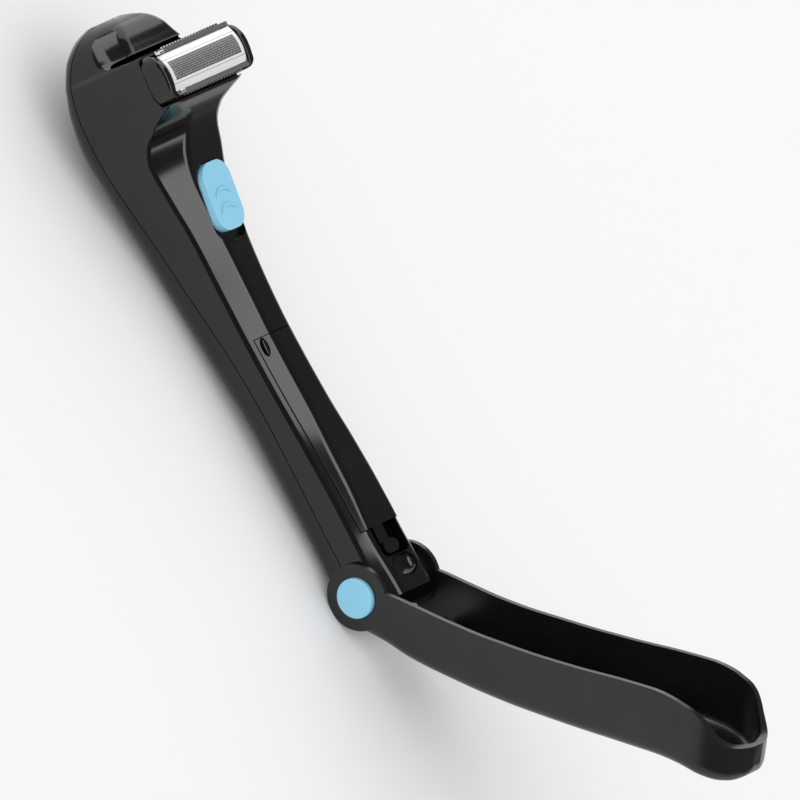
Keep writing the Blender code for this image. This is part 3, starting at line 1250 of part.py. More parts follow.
def wires():
    """Leads from the cell's two contacts to the switch board, and from the board to the motor."""
    board = on_switch(0, board_out())
    board_low = board[0] + BOARD_LENGTH * POST_SHARE
    lead_z = board[2] - BOARD_THICKNESS - WIRE_RADIUS - RUNNING_GAP
    tray_side = CELL_RADIUS + CELL_CLEARANCE + TRAY_WALL + WIRE_RADIUS + 2 * RUNNING_GAP
    far_end = -CELL_START - CELL_LENGTH - SPRING_LENGTH
    low_z = -CELL_AXIS_DROP - CELL_RADIUS / 2
    side_step = 2 * SCREW_BOSS_RADIUS
    points = [
        (-CELL_START + SPRING_LENGTH, -tray_side, -CELL_AXIS_DROP),
        (-CELL_START, -tray_side, low_z),
        (far_end, -tray_side, low_z),
        (board_low, -side_step, lead_z),
        (board[0], -side_step, lead_z),
    ]
    tube("wire_negative", points, WIRE_RADIUS, BODY, BLACK_PLASTIC)
    points = [
        (far_end - TRAY_WALL, side_step, low_z),
        ((far_end + board_low) / 2, side_step, low_z),
        (board_low, side_step, lead_z),
        (board[0], side_step, lead_z),
    ]
    tube("wire_positive", points, WIRE_RADIUS, BODY, RED_SLEEVE)
    motor_side = -HEAD_CENTRE + MOTOR_RADIUS + WIRE_RADIUS + 2 * RUNNING_GAP
    motor_end = MOTOR_TOP - MOTOR_LENGTH + MOTOR_CAP_LENGTH
    points = [
        (board[0] - BOARD_LENGTH * POST_SHARE, 0, lead_z),
        (board[0] - BOARD_LENGTH, 0, lead_z - OVERRUN),
        (motor_side + OVERRUN, 0, lead_z - 2 * OVERRUN),
        (motor_side, 0, (lead_z + motor_end) / 2),
        (motor_side, 0, motor_end),
    ]
    tube("wire_motor", points, WIRE_RADIUS, BODY, RED_SLEEVE)


def resting_tilt():
    """Angle at which both the body's back and the round ears stand on the ground."""
    places = np.linspace(EAR_RADIUS, BODY_LENGTH, 200)
    backs = np.array([body_section(place)["back"] for place in places])
    low, high = 0.0, math.pi / 4
    for _ in range(50):
        middle = (low + high) / 2
        lowest = (places * math.sin(middle) - backs * math.cos(middle)).min()
        if lowest < -EAR_RADIUS:
            low = middle
        else:
            high = middle
    return (low + high) / 2


def stand_on_origin():
    """Puts the whole on the ground with the middle of its bounding box over the origin."""
    BODY.rotation_euler.y = resting_tilt()
    bpy.context.view_layer.update()
    graph = bpy.context.evaluated_depsgraph_get()
    corners = []
    for part in PARTS.objects:
        if part.type == "EMPTY":
            continue
        evaluated = part.evaluated_get(graph)
        mesh = evaluated.to_mesh()
        corners += [evaluated.matrix_world @ vertex.co for vertex in mesh.vertices]
        evaluated.to_mesh_clear()
    lowest = [min(corner[axis] for corner in corners) for axis in range(3)]
    highest = [max(corner[axis] for corner in corners) for axis in range(3)]
    BODY.location = (-(lowest[0] + highest[0]) / 2, -(lowest[1] + highest[1]) / 2, -lowest[2])


def smooth_rounds():
    """Smooth shading across every edge flatter than the angle given."""
    for part in PARTS.objects:
        if part.type == "MESH":
            part.data.shade_smooth()
            part.data.set_sharp_from_angle(angle=SHARP_ANGLE)


rear, front = casing()
hinge_bore_cutters((rear, front))
open_front(front)
screw_fixings(rear, front)
board_posts(front)
battery_door()
switch_slider()
handle()
hinge_lock()
battery()
motor()
cutting_drive()
cassette()
wires()
smooth_rounds()
stand_on_origin()
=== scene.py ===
"""Dressed picture of a folding electric back shaver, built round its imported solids."""

import json
import logging
import math
from collections.abc import Callable, Iterable, Sequence
from dataclasses import dataclass, field
from enum import Enum

import bmesh
import bpy
import numpy as np
from bpy.types import Material, Mesh, NodeSocket, NodeTree, Object, ShaderNodeGroup, ShaderNodeTree
from mathutils import Matrix, Vector

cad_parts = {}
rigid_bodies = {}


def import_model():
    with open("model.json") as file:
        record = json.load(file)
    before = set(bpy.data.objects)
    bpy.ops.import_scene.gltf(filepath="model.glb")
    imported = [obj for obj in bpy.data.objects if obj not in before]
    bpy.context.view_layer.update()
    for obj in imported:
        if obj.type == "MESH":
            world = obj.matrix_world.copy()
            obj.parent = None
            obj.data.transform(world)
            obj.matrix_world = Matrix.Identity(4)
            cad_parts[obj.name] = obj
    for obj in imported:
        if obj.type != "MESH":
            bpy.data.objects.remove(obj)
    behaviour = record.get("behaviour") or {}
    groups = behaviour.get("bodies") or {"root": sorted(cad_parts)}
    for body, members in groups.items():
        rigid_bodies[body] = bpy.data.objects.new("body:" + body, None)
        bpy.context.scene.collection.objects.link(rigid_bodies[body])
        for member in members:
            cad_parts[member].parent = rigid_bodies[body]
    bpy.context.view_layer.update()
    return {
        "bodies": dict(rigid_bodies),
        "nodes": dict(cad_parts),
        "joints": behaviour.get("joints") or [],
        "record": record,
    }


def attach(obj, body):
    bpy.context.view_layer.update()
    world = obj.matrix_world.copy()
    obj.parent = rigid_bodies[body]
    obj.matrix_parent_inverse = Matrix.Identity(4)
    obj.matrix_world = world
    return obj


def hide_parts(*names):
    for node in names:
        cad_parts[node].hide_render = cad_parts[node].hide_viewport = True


LOG = logging.getLogger("back_shaver")
Point = tuple[float, float]
Space = tuple[float, float, float]
Colour = tuple[float, float, float]
Ring = Callable[[float], list[Point]]
Sockets = Sequence[tuple[str, str]]

# Finishes that belong to a slot of another name in the record.
OWN_SLOTS = {"satin_black": "black_plastic", "perforated_foil": "chrome"}
SMUDGE_SHARE = 0.25
BUMP_DISTANCE = 0.0002
BRUSHING_STRETCH = (1.0, 0.02, 1.0)
GRAIN_DETAIL = 3.0
BRUSHING_DETAIL = 2.0
MARKS_DETAIL = 4.0
MARKS_SCALE = 60.0
MARKS_EDGES = (0.45, 0.75)

# The foil's perforated window, in metres in the foil's own frame, and its three sets of hole rows.
FOIL_WINDOW_HALF_LENGTH = 0.0034
FOIL_WINDOW_HALF_WIDTH = 0.0203
FOIL_LINE_REACH = 0.0043
FOIL_LINE_HALF_WIDTH = 0.00012
FOIL_LINE_DEPTH = 0.55
FOIL_HOLE_PITCH = 0.00075
FOIL_HOLE_LEVEL = -1.05
FOIL_HOLE_ROWS = ((1.0, 0.0), (0.5, 0.866), (0.5, -0.866))
# Painted shade: the dark inside seen through the foil's holes. The fine lines beside the window take it at
# FOIL_LINE_DEPTH.
FOIL_HOLE_SHADE_COLOUR = (0.03, 0.03, 0.032, 1.0)


class Across(Enum):
    """Side of the shaver across its hinge axis."""

    LEFT = -1
    RIGHT = 1


class Grain(Enum):
    """How a moulded or ground surface is broken up close to: the texture's scale and its depth."""

    POLISHED = (900.0, 0.010)
    SATIN = (1400.0, 0.030)
    SPARKED = (2200.0, 0.120)


@dataclass(frozen=True)
class Finish:
    """One surface finish, with its colour, gloss and the wear that it shows.

    Args:
        name: the material's name, which is also the record's slot where it has one.
        colour: linear base colour.
        roughness: mean microfacet roughness.
        metallic: 1 on metal.
        grain: kind of fine surface texture.
        spread: how far the roughness strays over the surface.
        smudge: how much handling marks lighten the colour.
        coat: clear coat weight.
        brushed: depth of straight brushing, 0 for none.
        perforated: set on the foil, whose middle has fine holes, drawn as dots of painted shade.
    """

    name: str
    colour: Colour
    roughness: float
    metallic: float = 0.0
    grain: Grain = Grain.POLISHED
    spread: float = 0.04
    smudge: float = 0.05
    coat: float = 0.0
    brushed: float = 0.0
    perforated: bool = False

    @property
    def slot(self) -> str:
        """The record's material slot that the finish belongs to."""
        return OWN_SLOTS.get(self.name, self.name)

    def material(self) -> Material:
        """The finish as a material, made once."""
        found = bpy.data.materials.get(self.name + "_dressed")
        return found or self._make()

    def _make(self) -> Material:
        """Builds the nodes: handling marks on colour and roughness, grain on the normal.

        Returns:
            The new material.
        """
        made = bpy.data.materials.new(self.name + "_dressed")
        made.use_nodes = True
        tree = made.node_tree
        shader = tree.nodes["Principled BSDF"]
        marks = place_group(tree, handling_marks())
        marks.inputs["Colour"].default_value = (*self.colour, 1.0)
        lightened = (part + self.smudge * (1 - part) * SMUDGE_SHARE for part in self.colour)
        marks.inputs["Lightened"].default_value = (*lightened, 1.0)
        marks.inputs["Roughness"].default_value = self.roughness
        marks.inputs["Spread"].default_value = self.spread
        colour = marks.outputs["Colour"]
        # The foil's holes are dots of painted shade.
        if self.perforated:
            holes = place_group(tree, foil_holes())
            tree.links.new(colour, holes.inputs["Colour"])
            colour = holes.outputs["Colour"]
        tree.links.new(colour, shader.inputs["Base Color"])
        tree.links.new(marks.outputs["Roughness"], shader.inputs["Roughness"])
        shader.inputs["Metallic"].default_value = self.metallic
        shader.inputs["Coat Weight"].default_value = self.coat
        texture = place_group(tree, brushed_lines() if self.brushed else moulded_grain())
        texture.inputs["Scale"].default_value = self.grain.value[0]
        bump = tree.nodes.new("ShaderNodeBump")
        bump.inputs["Strength"].default_value = self.brushed or self.grain.value[1]
        bump.inputs["Distance"].default_value = BUMP_DISTANCE
        tree.links.new(texture.outputs["Height"], bump.inputs["Height"])
        tree.links.new(bump.outputs["Normal"], shader.inputs["Normal"])
        return made


def new_group(name: str, inputs: Sockets, outputs: Sockets) -> tuple[ShaderNodeTree, bool]:
    """Finds a shader node group, or starts it with named sockets.

    Args:
        name: the group's name.
        inputs: (name, kind) of each input, kind being Float or Color.
        outputs: the same for each output.

    Returns:
        The group, and whether it is new and has its two end nodes alone.
    """
    found = bpy.data.node_groups.get(name)
    if found:
        return found, False
    made = bpy.data.node_groups.new(name, "ShaderNodeTree")
    for direction, sockets in (("INPUT", inputs), ("OUTPUT", outputs)):
        for label, kind in sockets:
            made.interface.new_socket(name=label, in_out=direction, socket_type="NodeSocket" + kind)
    made.nodes.new("NodeGroupInput").name = "in"
    made.nodes.new("NodeGroupOutput").name = "out"
    return made, True


def place_group(tree: NodeTree, group: ShaderNodeTree) -> ShaderNodeGroup:
    """Puts a group into a material's tree.

    Args:
        tree: the material's tree.
        group: what to put there.

    Returns:
        The new group node.
    """
    node = tree.nodes.new("ShaderNodeGroup")
    node.node_tree = group
    return node


def math_node(tree: NodeTree, operation: str, first: object, second: object = None) -> NodeSocket:
    """Adds a Math node fed by sockets or numbers.

    Args:
        tree: the tree to add to.
        operation: Blender's name of the operation.
        first: a socket or a number.
        second: a socket or a number, where the operation takes two.

    Returns:
        The node's output socket.
    """
    node = tree.nodes.new("ShaderNodeMath")
    node.operation = operation
    for index, value in enumerate((first, second)):
        if value is None:
            continue
        if isinstance(value, (int, float)):
            node.inputs[index].default_value = value
        else:
            tree.links.new(value, node.inputs[index])
    return node.outputs[0]


def object_place(tree: NodeTree) -> NodeSocket:
    """The socket that gives a point's place in its object's own frame."""
    return tree.nodes.new("ShaderNodeTexCoord").outputs["Object"]


def noise_node(tree: NodeTree, place: NodeSocket, scale: NodeSocket | float, detail: float) -> NodeSocket:
    """Adds a noise texture.

    Args:
        tree: the tree to add to.
        place: where the noise is read.
        scale: a socket or a number.
        detail: how many finer layers it has.

    Returns:
        The socket of its value.
    """
    noise = tree.nodes.new("ShaderNodeTexNoise")
    noise.inputs["Detail"].default_value = detail
    tree.links.new(place, noise.inputs["Vector"])
    if isinstance(scale, float):
        noise.inputs["Scale"].default_value = scale
    else:
        tree.links.new(scale, noise.inputs["Scale"])
    return noise.outputs["Fac"]


def mix_node(tree: NodeTree, mask: NodeSocket, first: NodeSocket) -> tuple[NodeSocket, NodeSocket]:
    """Adds a colour mix.

    Args:
        tree: the tree to add to.
        mask: 0 where the first colour shows and 1 where the second does.
        first: the first colour.

    Returns:
        The socket that takes the second colour, and the mixed colour.
    """
    mix = tree.nodes.new("ShaderNodeMix")
    mix.data_type = "RGBA"
    tree.links.new(mask, mix.inputs[0])
    tree.links.new(first, mix.inputs[6])
    return mix.inputs[7], mix.outputs[2]


def moulded_grain() -> ShaderNodeTree:
    """Fine even grain of a moulded surface, as a height.

    Returns:
        The group, made once.
    """
    tree, is_new = new_group("moulded_grain", [("Scale", "Float")], [("Height", "Float")])
    if not is_new:
        return tree
    height = noise_node(tree, object_place(tree), tree.nodes["in"].outputs["Scale"], GRAIN_DETAIL)
    tree.links.new(height, tree.nodes["out"].inputs["Height"])
    return tree


def brushed_lines() -> ShaderNodeTree:
    """Straight grinding lines across Y, as a height.

    Returns:
        The group, made once.
    """
    tree, is_new = new_group("brushed_lines", [("Scale", "Float")], [("Height", "Float")])
    if not is_new:
        return tree
    stretch = tree.nodes.new("ShaderNodeVectorMath")
    stretch.operation = "MULTIPLY"
    stretch.inputs[1].default_value = BRUSHING_STRETCH
    tree.links.new(object_place(tree), stretch.inputs[0])
    height = noise_node(tree, stretch.outputs[0], tree.nodes["in"].outputs["Scale"], BRUSHING_DETAIL)
    tree.links.new(height, tree.nodes["out"].inputs["Height"])
    return tree


def handling_marks() -> ShaderNodeTree:
    """Broad soft patches where a surface is handled, on colour and on roughness.

    Returns:
        The group, made once.
    """
    inputs = [("Colour", "Color"), ("Lightened", "Color"), ("Roughness", "Float"), ("Spread", "Float")]
    tree, is_new = new_group("handling_marks", inputs, [("Colour", "Color"), ("Roughness", "Float")])
    if not is_new:
        return tree
    given, made = tree.nodes["in"].outputs, tree.nodes["out"].inputs
    patches = noise_node(tree, object_place(tree), MARKS_SCALE, MARKS_DETAIL)
    ramp = tree.nodes.new("ShaderNodeValToRGB")
    for element, position in zip(ramp.color_ramp.elements, MARKS_EDGES):
        element.position = position
    tree.links.new(patches, ramp.inputs["Fac"])
    second, colour = mix_node(tree, ramp.outputs["Color"], given["Colour"])
    tree.links.new(given["Lightened"], second)
    tree.links.new(colour, made["Colour"])
    strayed = math_node(tree, "MULTIPLY", patches, given["Spread"])
    tree.links.new(math_node(tree, "ADD", strayed, given["Roughness"]), made["Roughness"])
    return tree


def foil_holes() -> ShaderNodeTree:
    """Rows of small dark dots in the middle of the foil, painted shade of the dark inside seen through its holes,
    and the fine line on either side of them in the same dark at a share.

    Returns:
        The group, made once.
    """
    tree, is_new = new_group("foil_holes", [("Colour", "Color")], [("Colour", "Color")])
    if not is_new:
        return tree
    axes = tree.nodes.new("ShaderNodeSeparateXYZ")
    tree.links.new(object_place(tree), axes.inputs[0])
    along, across = axes.outputs["X"], axes.outputs["Y"]
    reach = math_node(tree, "ABSOLUTE", along)
    near = math_node(tree, "LESS_THAN", reach, FOIL_WINDOW_HALF_LENGTH)
    width = math_node(tree, "ABSOLUTE", across)
    inside = math_node(tree, "MULTIPLY", near, math_node(tree, "LESS_THAN", width, FOIL_WINDOW_HALF_WIDTH))
    turn = 2 * math.pi / FOIL_HOLE_PITCH
    waves = []
    for along_share, across_share in FOIL_HOLE_ROWS:
        run = math_node(tree, "MULTIPLY", along, along_share * turn)
        phase = math_node(tree, "ADD", run, math_node(tree, "MULTIPLY", across, across_share * turn))
        waves.append(math_node(tree, "COSINE", phase))
    total = math_node(tree, "ADD", math_node(tree, "ADD", waves[0], waves[1]), waves[2])
    hole = math_node(tree, "GREATER_THAN", total, FOIL_HOLE_LEVEL)
    line = math_node(tree, "COMPARE", reach, FOIL_LINE_REACH)
    line.node.inputs[2].default_value = FOIL_LINE_HALF_WIDTH
    faint = math_node(tree, "MULTIPLY", line, FOIL_LINE_DEPTH)
    mask = math_node(tree, "MAXIMUM", math_node(tree, "MULTIPLY", hole, inside), faint)
    second, colour = mix_node(tree, mask, tree.nodes["in"].outputs["Colour"])
    second.default_value = FOIL_HOLE_SHADE_COLOUR
    tree.links.new(colour, tree.nodes["out"].inputs["Colour"])
    return tree


GLOSS_BLACK = Finish("black_plastic", (0.0035, 0.0035, 0.0038), 0.10, spread=0.05, smudge=0.010)
SATIN_BLACK = Finish("satin_black", (0.006, 0.006, 0.0065), 0.22, grain=Grain.SATIN, spread=0.06, smudge=0.012)
SKY_BLUE = Finish("blue_plastic", (0.26, 0.60, 0.80), 0.30, grain=Grain.SATIN, spread=0.05, smudge=0.03)
BRIGHT = Finish("chrome", (0.86, 0.86, 0.88), 0.09, 1.0, Grain.POLISHED, 0.05, 0.0)
FOIL = Finish("perforated_foil", (0.93, 0.93, 0.94), 0.32, 0.30, Grain.POLISHED, 0.05, 0.0, perforated=True)
GROUND_STEEL = Finish("steel", (0.52, 0.52, 0.54), 0.26, 1.0, Grain.SATIN, 0.08, 0.0, brushed=0.25)
BRASS = Finish("brass", (0.72, 0.52, 0.20), 0.28, 1.0, Grain.SATIN, 0.08, 0.0)
INNER_GREY = Finish("grey_plastic", (0.16, 0.16, 0.17), 0.45, grain=Grain.SPARKED, spread=0.1)
SLEEVE_GREEN = Finish("cell_sleeve", (0.05, 0.22, 0.12), 0.3, grain=Grain.SATIN)
BOARD_GREEN = Finish("board", (0.03, 0.15, 0.07), 0.45, grain=Grain.SPARKED, spread=0.1)
LEAD_RED = Finish("red_sleeve", (0.42, 0.02, 0.02), 0.4, grain=Grain.SATIN)

NODE_FINISHES: dict[Finish, tuple[str, ...]] = {
    GLOSS_BLACK: ("rear_shell", "front_shell", "battery_door", "cassette_frame"),
    SATIN_BLACK: ("handle_channel", "wire_negative"),
    SKY_BLUE: ("switch_slider", "hinge_button_left", "hinge_button_right"),
    BRIGHT: ("shaving_foil", "upper_comb", "lower_comb", "foil_clip_upper", "foil_clip_lower"),
    GROUND_STEEL: (
        *("casing_screw_1", "casing_screw_2", "casing_screw_3", "battery_spring", "spring_plate"),
        *("motor_can", "motor_bracket", "motor_shaft", "hinge_core"),
        *("button_spring_left", "button_spring_right", "cutter_block"),
        *("upper_trimmer_blade", "lower_trimmer_blade"),
    ),
    BRASS: ("battery_contact", "eccentric_cam"),
    INNER_GREY: ("battery_tray", "motor_end_cap", "drive_yoke"),
    SLEEVE_GREEN: ("battery_cell",),
    BOARD_GREEN: ("switch_board",),
    LEAD_RED: ("wire_positive", "wire_motor"),
}

# Sizes of the solids that the fine pieces follow, in metres, and their tables of shares.
BODY_LENGTH = 0.2076
HEAD_HALF_WIDTH = 0.0260
HEAD_BACK_DEPTH = 0.0267
HEAD_CORNER_RADIUS = 0.0156
SEAT_HEIGHT = 0.0150
SHELL_WALL = 0.0018
CORNER_RISE_SHARE = 0.96
CORNER_LIMIT_SHARE = 0.48
EAR_RADIUS = 0.0114
EAR_WALL = 0.0020
EAR_GAP = 0.0307
HINGE_SIDE_CLEARANCE = 0.00035
BUTTON_RADIUS = 0.0069
BUTTON_BORE = 0.0072
COLLAR_WALL = 0.0014
COLLAR_DEPTH = 0.0026
CORE_ROOM = 0.0079
HANDLE_LENGTH = 0.1476
HANDLE_REST_ANGLE = math.radians(53.13)
HANDLE_HALF_WIDTH = 0.0203
HANDLE_DEPTH = 0.0200
HANDLE_WALL = 0.0020
HANDLE_FLOOR_START = 0.0155
DOOR_START = 0.0190
DOOR_END = 0.0912
DOOR_HALF_WIDTH = 0.0109
DOOR_THICKNESS = 0.0018
DOOR_RISE = 0.0005
DOOR_CLEARANCE = 0.0003
SWITCH_LENGTH = 0.0236
SWITCH_CENTRE = 0.1395
SWITCH_HALF_WIDTH = 0.0081
SWITCH_RISE = 0.0012
SWITCH_TRAVEL = 0.0037
SWITCH_RECESS_DEPTH = 0.0022
HEAD_CENTRE = 0.1825
CASSETTE_HALF_LENGTH = 0.0088
CASSETTE_PLATE = 0.0036
CASSETTE_PLATE_HEIGHT = 0.0084
CASSETTE_TILT = math.radians(5.5)
FOIL_RADIUS = 0.0135
FOIL_THICKNESS = 0.0003
FOIL_HALF_ANGLE = math.radians(29.0)
FOIL_CREST = 0.0079

BODY_SECTIONS = (
    (-0.0600, 0.412, -0.010, 0.577, 0.546, 0.510, 0.860, 0.331, 0.38),
    (0.0000, 0.419, -0.045, 0.577, 0.543, 0.467, 0.793, 0.335, 0.38),
    (0.0890, 0.445, -0.105, 0.567, 0.531, 0.393, 0.653, 0.343, 0.38),
    (0.1530, 0.499, -0.134, 0.563, 0.523, 0.330, 0.644, 0.309, 0.45),
    (0.2310, 0.549, -0.169, 0.557, 0.515, 0.224, 0.570, 0.277, 0.47),
    (0.3120, 0.606, -0.206, 0.557, 0.508, 0.110, 0.470, 0.226, 0.51),
    (0.3900, 0.699, -0.270, 0.561, 0.510, 0.004, 0.377, 0.218, 0.55),
    (0.4710, 0.804, -0.371, 0.573, 0.515, -0.076, 0.310, 0.216, 0.61),
    (0.5660, 0.917, -0.498, 0.608, 0.546, -0.123, 0.284, 0.238, 0.70),
    (0.6300, 0.955, -0.554, 0.662, 0.600, -0.116, 0.284, 0.277, 0.76),
    (0.6940, 0.970, -0.592, 0.769, 0.708, -0.103, 0.324, 0.335, 0.83),
    (0.7558, 0.969, -0.607, 0.892, 0.800, -0.080, 0.533, 0.400, 0.90),
    (0.7890, 0.994, -0.614, 0.938, 0.808, 0.107, 0.747, 0.354, 0.94),
    (0.8092, 0.999, -0.614, 0.962, 0.831, 0.427, 0.973, 0.377, 0.96),
    (0.8237, 0.999, -0.614, 0.973, 0.858, 0.840, 1.153, 0.577, 0.97),
    (0.8348, 0.990, -0.610, 0.981, 0.896, 1.153, 1.307, 0.750, 0.99),
    (0.8574, 0.953, -0.603, 1.000, 0.996, 1.260, 1.307, 0.969, 1.00),
    (0.8815, 0.912, -0.588, 1.000, 0.996, 1.260, 1.307, 0.969, 1.00),
    (0.9191, 0.816, -0.547, 0.969, 0.965, 1.260, 1.307, 0.942, 0.97),
    (0.9268, 0.800, -0.536, 0.954, 0.892, 0.027, 0.533, 0.654, 0.96),
    (0.9441, 0.751, -0.487, 0.915, 0.838, -0.093, 0.427, 0.546, 0.92),
    (0.9629, 0.701, -0.431, 0.846, 0.754, -0.173, 0.347, 0.500, 0.86),
    (0.9798, 0.611, -0.367, 0.723, 0.631, -0.240, 0.233, 0.408, 0.74),
    (0.9918, 0.560, -0.330, 0.554, 0.462, -0.320, 0.047, 0.308, 0.58),
    (1.0000, 0.472, -0.300, 0.331, 0.277, -0.413, -0.227, 0.131, 0.32),
)
HANDLE_SECTIONS = (
    (0.0000, 0.855, 0.570, 0.230),
    (0.0718, 0.852, 0.660, 0.223),
    (0.1558, 0.852, 0.820, 0.160),
    (0.2439, 0.862, 0.910, 0.090),
    (0.3388, 0.897, 0.970, 0.053),
    (0.4472, 0.936, 1.005, 0.050),
    (0.5759, 0.966, 1.012, 0.077),
    (0.7114, 0.990, 1.002, 0.138),
    (0.7927, 1.000, 0.997, 0.155),
    (0.8401, 1.000, 1.015, 0.110),
    (0.8672, 0.985, 1.047, 0.050),
    (0.8909, 0.966, 1.090, -0.015),
    (0.9112, 0.925, 1.140, -0.115),
    (0.9282, 0.870, 1.175, -0.255),
    (0.9417, 0.810, 1.200, -0.400),
    (0.9553, 0.731, 1.215, -0.500),
    (0.9688, 0.629, 1.215, -0.570),
    (0.9824, 0.486, 1.185, -0.605),
    (0.9919, 0.336, 1.130, -0.615),
    (0.9973, 0.196, 1.065, -0.620),
    (1.0000, 0.118, 0.980, -0.620),
)
# More sizes of the solids, and the reaches of tools that only have to pass through.
SEAM_GAP = 0.0003
LIP_REACH = 0.0050
NOSE_ARC = math.radians(77)
NOSE_STEPS = 40
POCKET_START = 0.0078
POCKET_HALF_WIDTH = 0.0078
POCKET_DEPTH = 0.0056
POCKET_WALL = 0.0014
POCKET_EDGE = 0.0019
POCKET_CORNER = 0.0022
PASS = 0.02
PASS_DEEP = 0.03
PASS_ALL = 0.06
PASS_WIDE = 0.1
PASS_FAR = 0.5
FIT_GAP = 0.0003
SEAT_OVERHANG = 0.0012
SEAT_HOLE = (0.0120, 0.0300, 0.0072)
BODY_TIP = 0.0124
# Stations of the lofts as (start, end, step): the head's form turns faster than the rest.
BODY_RUN = (-BODY_TIP, 0.149, 0.0025)
HEAD_RUN = (0.150, 0.1985, 0.0008)
HEAD_END = (0.199, BODY_LENGTH, 9)
HOLLOW_RUN = (-0.0100, 0.190, 0.0060)
HOLLOW_END = (0.1950, 0.2000)
HANDLE_RUN = (0.0, 0.120, 0.0030)
HANDLE_BEND = (0.120, 0.1455, 0.0008)
HANDLE_END = (0.146, HANDLE_LENGTH, 6)
SEAM_STEPS = 90
SCOOP_CENTRE = 0.0038
SCOOP_SIZES = (0.0044, 0.0066, 0.0030)
SWITCH_CORNER = 0.0060
SWITCH_SIDE_GAP = 0.0004
SWITCH_EDGE = 0.0011
STEM_SIZE = (0.0040, 0.0030, 0.0072)
STEM_SLOT = (0.0085, 0.0038, 0.0072)
STEM_DROP = 0.0025
BORE_DEPTH = 0.0049
BORE_SINK = 0.00145
BORE_PASS = 0.001
SCREWS = ((0.475, 0.0), (0.735, 0.45), (0.735, -0.45))
SCREW_SEAT = (0.0038, 0.0052, 0.0035)
SCREW_SINK = (0.0029, 0.0049, 0.00045)
SCREW_HOLE = (0.0014, 0.02, 0.0)
DOOR_STEPS = 46
DOOR_EDGE = 0.00016
LATCH_DROP = 0.0028
LATCH_NECK = (0.0099, 0.00588, 0.0012)
LATCH_RISER = (0.001, 0.0042, 0.0028)
LATCH_OVERLAP = 0.002
LATCH_LENGTH = 0.0102
LATCH_PAD = (0.0023, 0.0042, 0.0022)
LATCH_PAD_ENDS = (0.0037, 0.0003)
LATCH_EDGE = 0.0003
NOTCH_INSET = (0.0034, 0.0018)
NOTCH_SIZES = (0.0034, 0.0018, 0.0011)
HANDLE_END_POWER = 8
EAR_PASS = 0.002
EAR_GAP_REACH = 0.0005
BUTTON_RISE = 0.0018
BUTTON_SEAT = 0.0019
BUTTON_ROOM = 0.0006
BUTTON_EDGE = 0.0009
SPINDLE_END = 0.0057
SPINDLE_RADIUS = 0.0044
TOOTH_HEIGHT = 0.0007
TOOTH_COUNT = 12
TOOTH_FORM = ((0.0, 0), (0.2, 1), (0.5, 1), (0.7, 0))
FRAME_WALL = 0.001
FRAME_FLOOR = 0.0018
FRAME_RISE = 0.0044
FRAME_LEAN = 0.0005
FRAME_CORNER = 0.0055
FRAME_WINDOW = (2 * (0.00615 + 0.0009), 0.04, 0.004)
PLATE_EDGE = 0.0012
ARC_STEPS = 60

PLATE_OUTLINE = (
    *((1.0, 0.0), (1.0, 0.40), (0.975, 0.68), (0.90, 0.83), (0.74, 0.905)),
    *((0.50, 0.955), (0.24, 0.99), (0.0, 1.0), (-0.22, 0.98), (-0.44, 0.905)),
    *((-0.63, 0.79), (-0.79, 0.64), (-0.90, 0.46), (-0.97, 0.24), (-1.0, 0.0)),
)


def hermite(stations: Sequence[float], values: Sequence[float], at: float) -> float:
    """Smooth curve through given values that never overshoots between two of them.

    Args:
        stations: rising places.
        values: the value at each place.
        at: where to read the curve.

    Returns:
        The value there.
    """
    steps = np.diff(stations)
    slopes = np.diff(values) / steps
    tangents = np.concatenate([slopes[:1], np.zeros(len(slopes) - 1), slopes[-1:]])
    for i in range(1, len(slopes)):
        if slopes[i - 1] * slopes[i] > 0:
            before = 2 * steps[i] + steps[i - 1]
            after = steps[i] + 2 * steps[i - 1]
            tangents[i] = (before + after) / (before / slopes[i - 1] + after / slopes[i])
    i = int(np.clip(np.searchsorted(stations, at) - 1, 0, len(steps) - 1))
    u = (at - stations[i]) / steps[i]
    start = (1 + 2 * u) * (1 - u) ** 2 * values[i] + u * (1 - u) ** 2 * steps[i] * tangents[i]
    return float(start + u**2 * (3 - 2 * u) * values[i + 1] + u**2 * (u - 1) * steps[i] * tangents[i + 1])


def rounded(corners: Sequence[Space], steps: int) -> list[Point]:
    """A polyline whose inner corners are arcs, each limited by the sides beside it.

    Args:
        corners: (y, z, radius) of every corner.
        steps: how many pieces each arc has.

    Returns:
        The polyline's points (y, z).
    """
    points = [tuple(corners[0][:2])]
    for before, corner, after in zip(corners, corners[1:], corners[2:]):
        here = Vector(corner[:2])
        if corner[2] <= 0:
            points.append(tuple(here))
            continue
        to_before = Vector(before[:2]) - here
        to_after = Vector(after[:2]) - here
        turn = to_before.angle(to_after)
        reach = corner[2] / math.tan(turn / 2)
        reach = min(reach, to_before.length * CORNER_LIMIT_SHARE, to_after.length * CORNER_LIMIT_SHARE)
        radius = reach * math.tan(turn / 2)
        bisector = (to_before.normalized() + to_after.normalized()).normalized()
        centre = here + bisector * (radius / math.sin(turn / 2))
        first = here + to_before.normalized() * reach - centre
        sweep = first.angle_signed(here + to_after.normalized() * reach - centre)
        for step in range(steps + 1):
            spoke = first.copy()
            spoke.rotate(Matrix.Rotation(-sweep * step / steps, 2))
            points.append(tuple(centre + spoke))
    points.append(tuple(corners[-1][:2]))
    return points


def mirrored(half: Sequence[Point]) -> list[Point]:
    """A half outline (y, z) closed by its mirror image across y = 0."""
    return [*half, *((-y, z) for y, z in reversed(half))]


